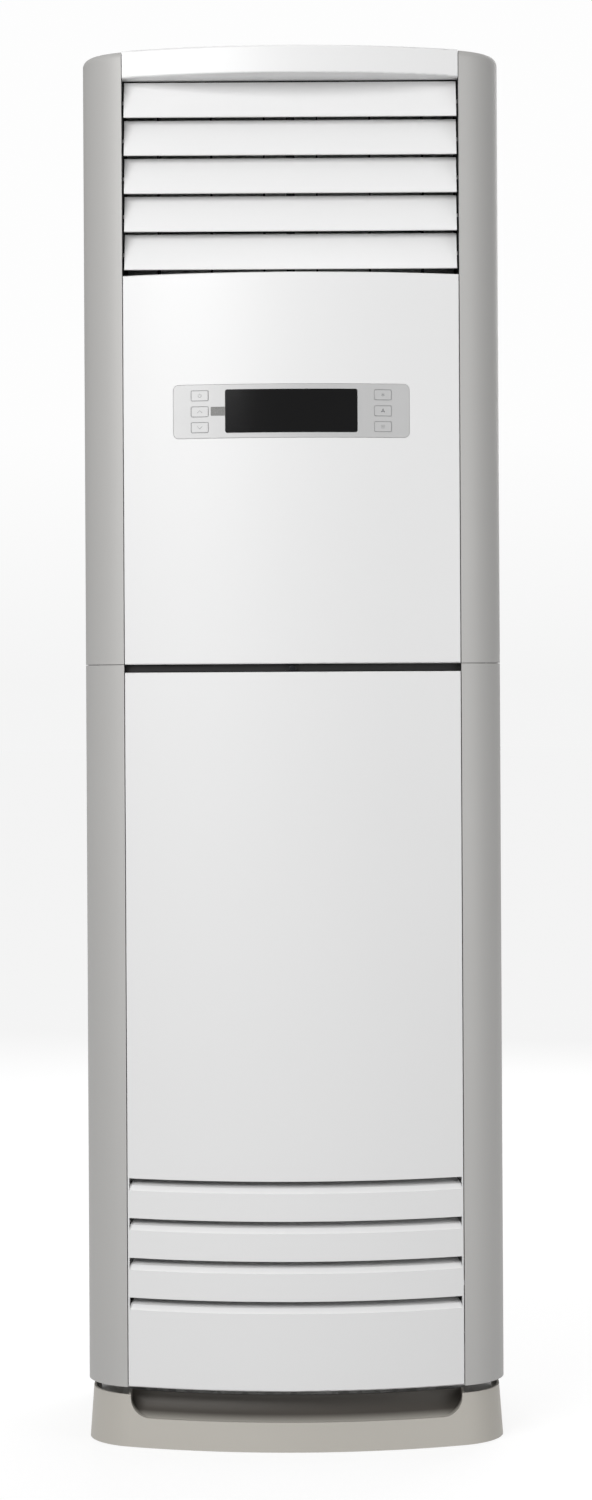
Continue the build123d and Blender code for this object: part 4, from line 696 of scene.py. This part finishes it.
# %% Pipe port edging
port_x, port_z = 220.0 * MM, 165.0 * MM
port_width, port_height = 76.0 * MM, 46.0 * MM
edging_cover = 3.5 * MM
edging_inside = 1.8 * MM
edging_thick = 3.2 * MM
edging_rounding = 0.9 * MM
rear_sheet_y = 207.2 * MM
rubber, shader, place = new_finish("black_rubber_profile", IOR=1.52)
tone_and_grain(rubber, shader, place, ("#1A1A1A", "#222222"), 0.03, 1.5 * MM, 0.02 * MM, (0.6, 0.7))
bpy.ops.object.select_all(action="DESELECT")
bpy.ops.mesh.primitive_circle_add(vertices=48, radius=port_height / 2 + edging_cover, fill_type="NGON",
                                  rotation=(-quarter_turn, 0, 0))
edging = bpy.context.object
edging.name = "pipe_port_edging"
bpy.ops.object.transform_apply(location=True, rotation=True, scale=True)
straight = (port_width - port_height) / 2
for vertex in edging.data.vertices:
    if abs(vertex.co.x) > 0.1 * MM:
        vertex.co.x += math.copysign(straight, vertex.co.x)
open_inside(edging, edging_cover + edging_inside)
thick = edging.modifiers.new("rubber", "SOLIDIFY")
thick.thickness = edging_thick
thick.offset = 0
bpy.ops.object.modifier_apply(modifier=thick.name)
soft = edging.modifiers.new("rounding", "BEVEL")
soft.width = edging_rounding
soft.segments = 3
soft.limit_method = "ANGLE"
bpy.ops.object.modifier_apply(modifier=soft.name)
bpy.ops.object.shade_smooth_by_angle(angle=math.radians(40))
edging.data.transform(Matrix.Translation((port_x, rear_sheet_y, port_z)))
edging.data.materials.append(rubber)
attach(edging, "cabinet")
print("edging", [round(v / MM, 1) for v in edging.dimensions])

# %% [markdown]
# ## Blades of the fan wheel
# The wheel throws the air outwards with thirty narrow blades that lean into its turn, moulded between the
# back plate and the front ring. The CAD wheel carries only the first of them, so the other twenty-nine
# are laid round its axis here and turn with it. One blade is a flat strip whose middle sags along a
# parabola. It is given its wall and copied round by twelve degrees at a time.

# %% Twenty-nine more blades
fan_axis = Vector((-30 * MM, 0, 292 * MM))
blade_count = 30
blade_front_y, blade_back_y = -87.9 * MM, 21.0 * MM
blade_inner, blade_outer = 114.0 * MM, 139.0 * MM
blade_lead = math.radians(9)
blade_bow = 4.0 * MM
blade_wall = 1.4 * MM
bpy.ops.object.select_all(action="DESELECT")
bpy.ops.mesh.primitive_grid_add(x_subdivisions=6, y_subdivisions=1, size=1)
strip = bpy.context.object
for vertex in strip.data.vertices:
    along, back = vertex.co.x + 0.5, vertex.co.y + 0.5
    vertex.co.x = blade_inner + along * (blade_outer * math.cos(blade_lead) - blade_inner)
    vertex.co.y = blade_front_y + back * (blade_back_y - blade_front_y)
    vertex.co.z = along * blade_outer * math.sin(blade_lead) - 4 * blade_bow * along * (1 - along)
wall = strip.modifiers.new("wall", "SOLIDIFY")
wall.thickness = blade_wall
wall.offset = -1
bpy.ops.object.modifier_apply(modifier=wall.name)
blades = []
for i in range(1, blade_count):
    step = Matrix.Rotation(math.radians(-360 / blade_count * i), 4, "Y")
    blades.append(place_copy(strip, "fan_blade", Matrix.Translation(fan_axis) @ step))
bpy.data.objects.remove(strip)
pick_only(*blades)
bpy.ops.object.join()
blades = bpy.context.object
blades.name = "fan_blades"
bpy.ops.object.shade_smooth_by_angle(angle=math.radians(35))
blades.data.materials.append(grey_plastic)
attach(blades, "fan_rotor")
print("blades added:", blade_count - 1)

# %% [markdown]
# ## Studio
# A pale floor, a dim room and one large soft light from above on the left, as in the picture: there the
# upper left of the front is the brightest, and the right trim falls into shade. A weaker light on the
# right lifts that shade, and one behind serves the views of the back. The room's own light comes from
# above, so everything that faces down stays dark, such as the lips of the slots. The camera sees the room
# as a white backdrop, a little greyer where it meets the floor. The floor glows like a light table, which
# keeps it pale far from the lamps, and it sends no soft light back to the cabinet.

# %% Floor, world and lights
floor_size = 90
floor_drop = 0.5 * MM
room_below, room_above = 0.27, 0.66
backdrop_low, backdrop_high, backdrop_rise = 0.95, 1.03, 0.07
bpy.ops.object.select_all(action="DESELECT")
bpy.ops.mesh.primitive_plane_add(size=floor_size, location=(0, 0, -floor_drop))
floor = bpy.context.object
floor.name = "studio_floor"
floor_paint, shader, place = new_finish("pale_studio_floor", Roughness=0.9, Emission_Strength=0.76)
shader.inputs["Emission Color"].default_value = (1, 1, 1, 1)
tone_and_grain(floor_paint, shader, place, ("#858585", "#828282"), 1.5, 8 * MM, 0.02 * MM)
floor.data.materials.append(floor_paint)
floor.visible_diffuse = False

world = bpy.data.worlds.new("studio_air")
bpy.context.scene.world = world
world.use_nodes = True
background = world.node_tree.nodes["Background"]
background.inputs["Color"].default_value = linear("#FAFAFA")
direction = add_node(world, "ShaderNodeTexCoord").outputs["Generated"]
height = add_node(world, "ShaderNodeSeparateXYZ", None, {"Vector": direction}).outputs["Z"]
room = add_node(world, "ShaderNodeMapRange", {"To Min": room_below, "To Max": room_above},
                {"Value": height})
backdrop = add_node(world, "ShaderNodeMapRange", {"From Max": backdrop_rise, "To Min": backdrop_low,
                                                  "To Max": backdrop_high}, {"Value": height})
seen = add_node(world, "ShaderNodeLightPath").outputs["Is Camera Ray"]
shown = add_node(world, "ShaderNodeMix", None, {"Factor": seen, "A": room.outputs["Result"],
                                                "B": backdrop.outputs["Result"]})
world.node_tree.links.new(shown.outputs["Result"], background.inputs["Strength"])

cabinet_middle = Vector((0, 0, 1.0))


def soft_light(name, place, width, tall, watts):
    """A studio light of that width and height, turned towards the middle of the cabinet."""
    data = bpy.data.lights.new(name, "AREA")
    data.shape = "RECTANGLE"
    data.size = width
    data.size_y = tall
    data.energy = watts
    light = bpy.data.objects.new(name, data)
    light.location = place
    light.rotation_euler = (cabinet_middle - Vector(place)).to_track_quat("-Z", "Y").to_euler()
    bpy.context.scene.collection.objects.link(light)


soft_light("key_from_upper_left", (-1.9, -3.4, 2.6), 2.4, 1.5, 101)
soft_light("fill_from_right", (3.2, -2.5, 1.5), 2.4, 2.4, 34)
soft_light("glow_on_back", (0.8, 3.8, 2.6), 3.4, 2.4, 85)
print("lights set")
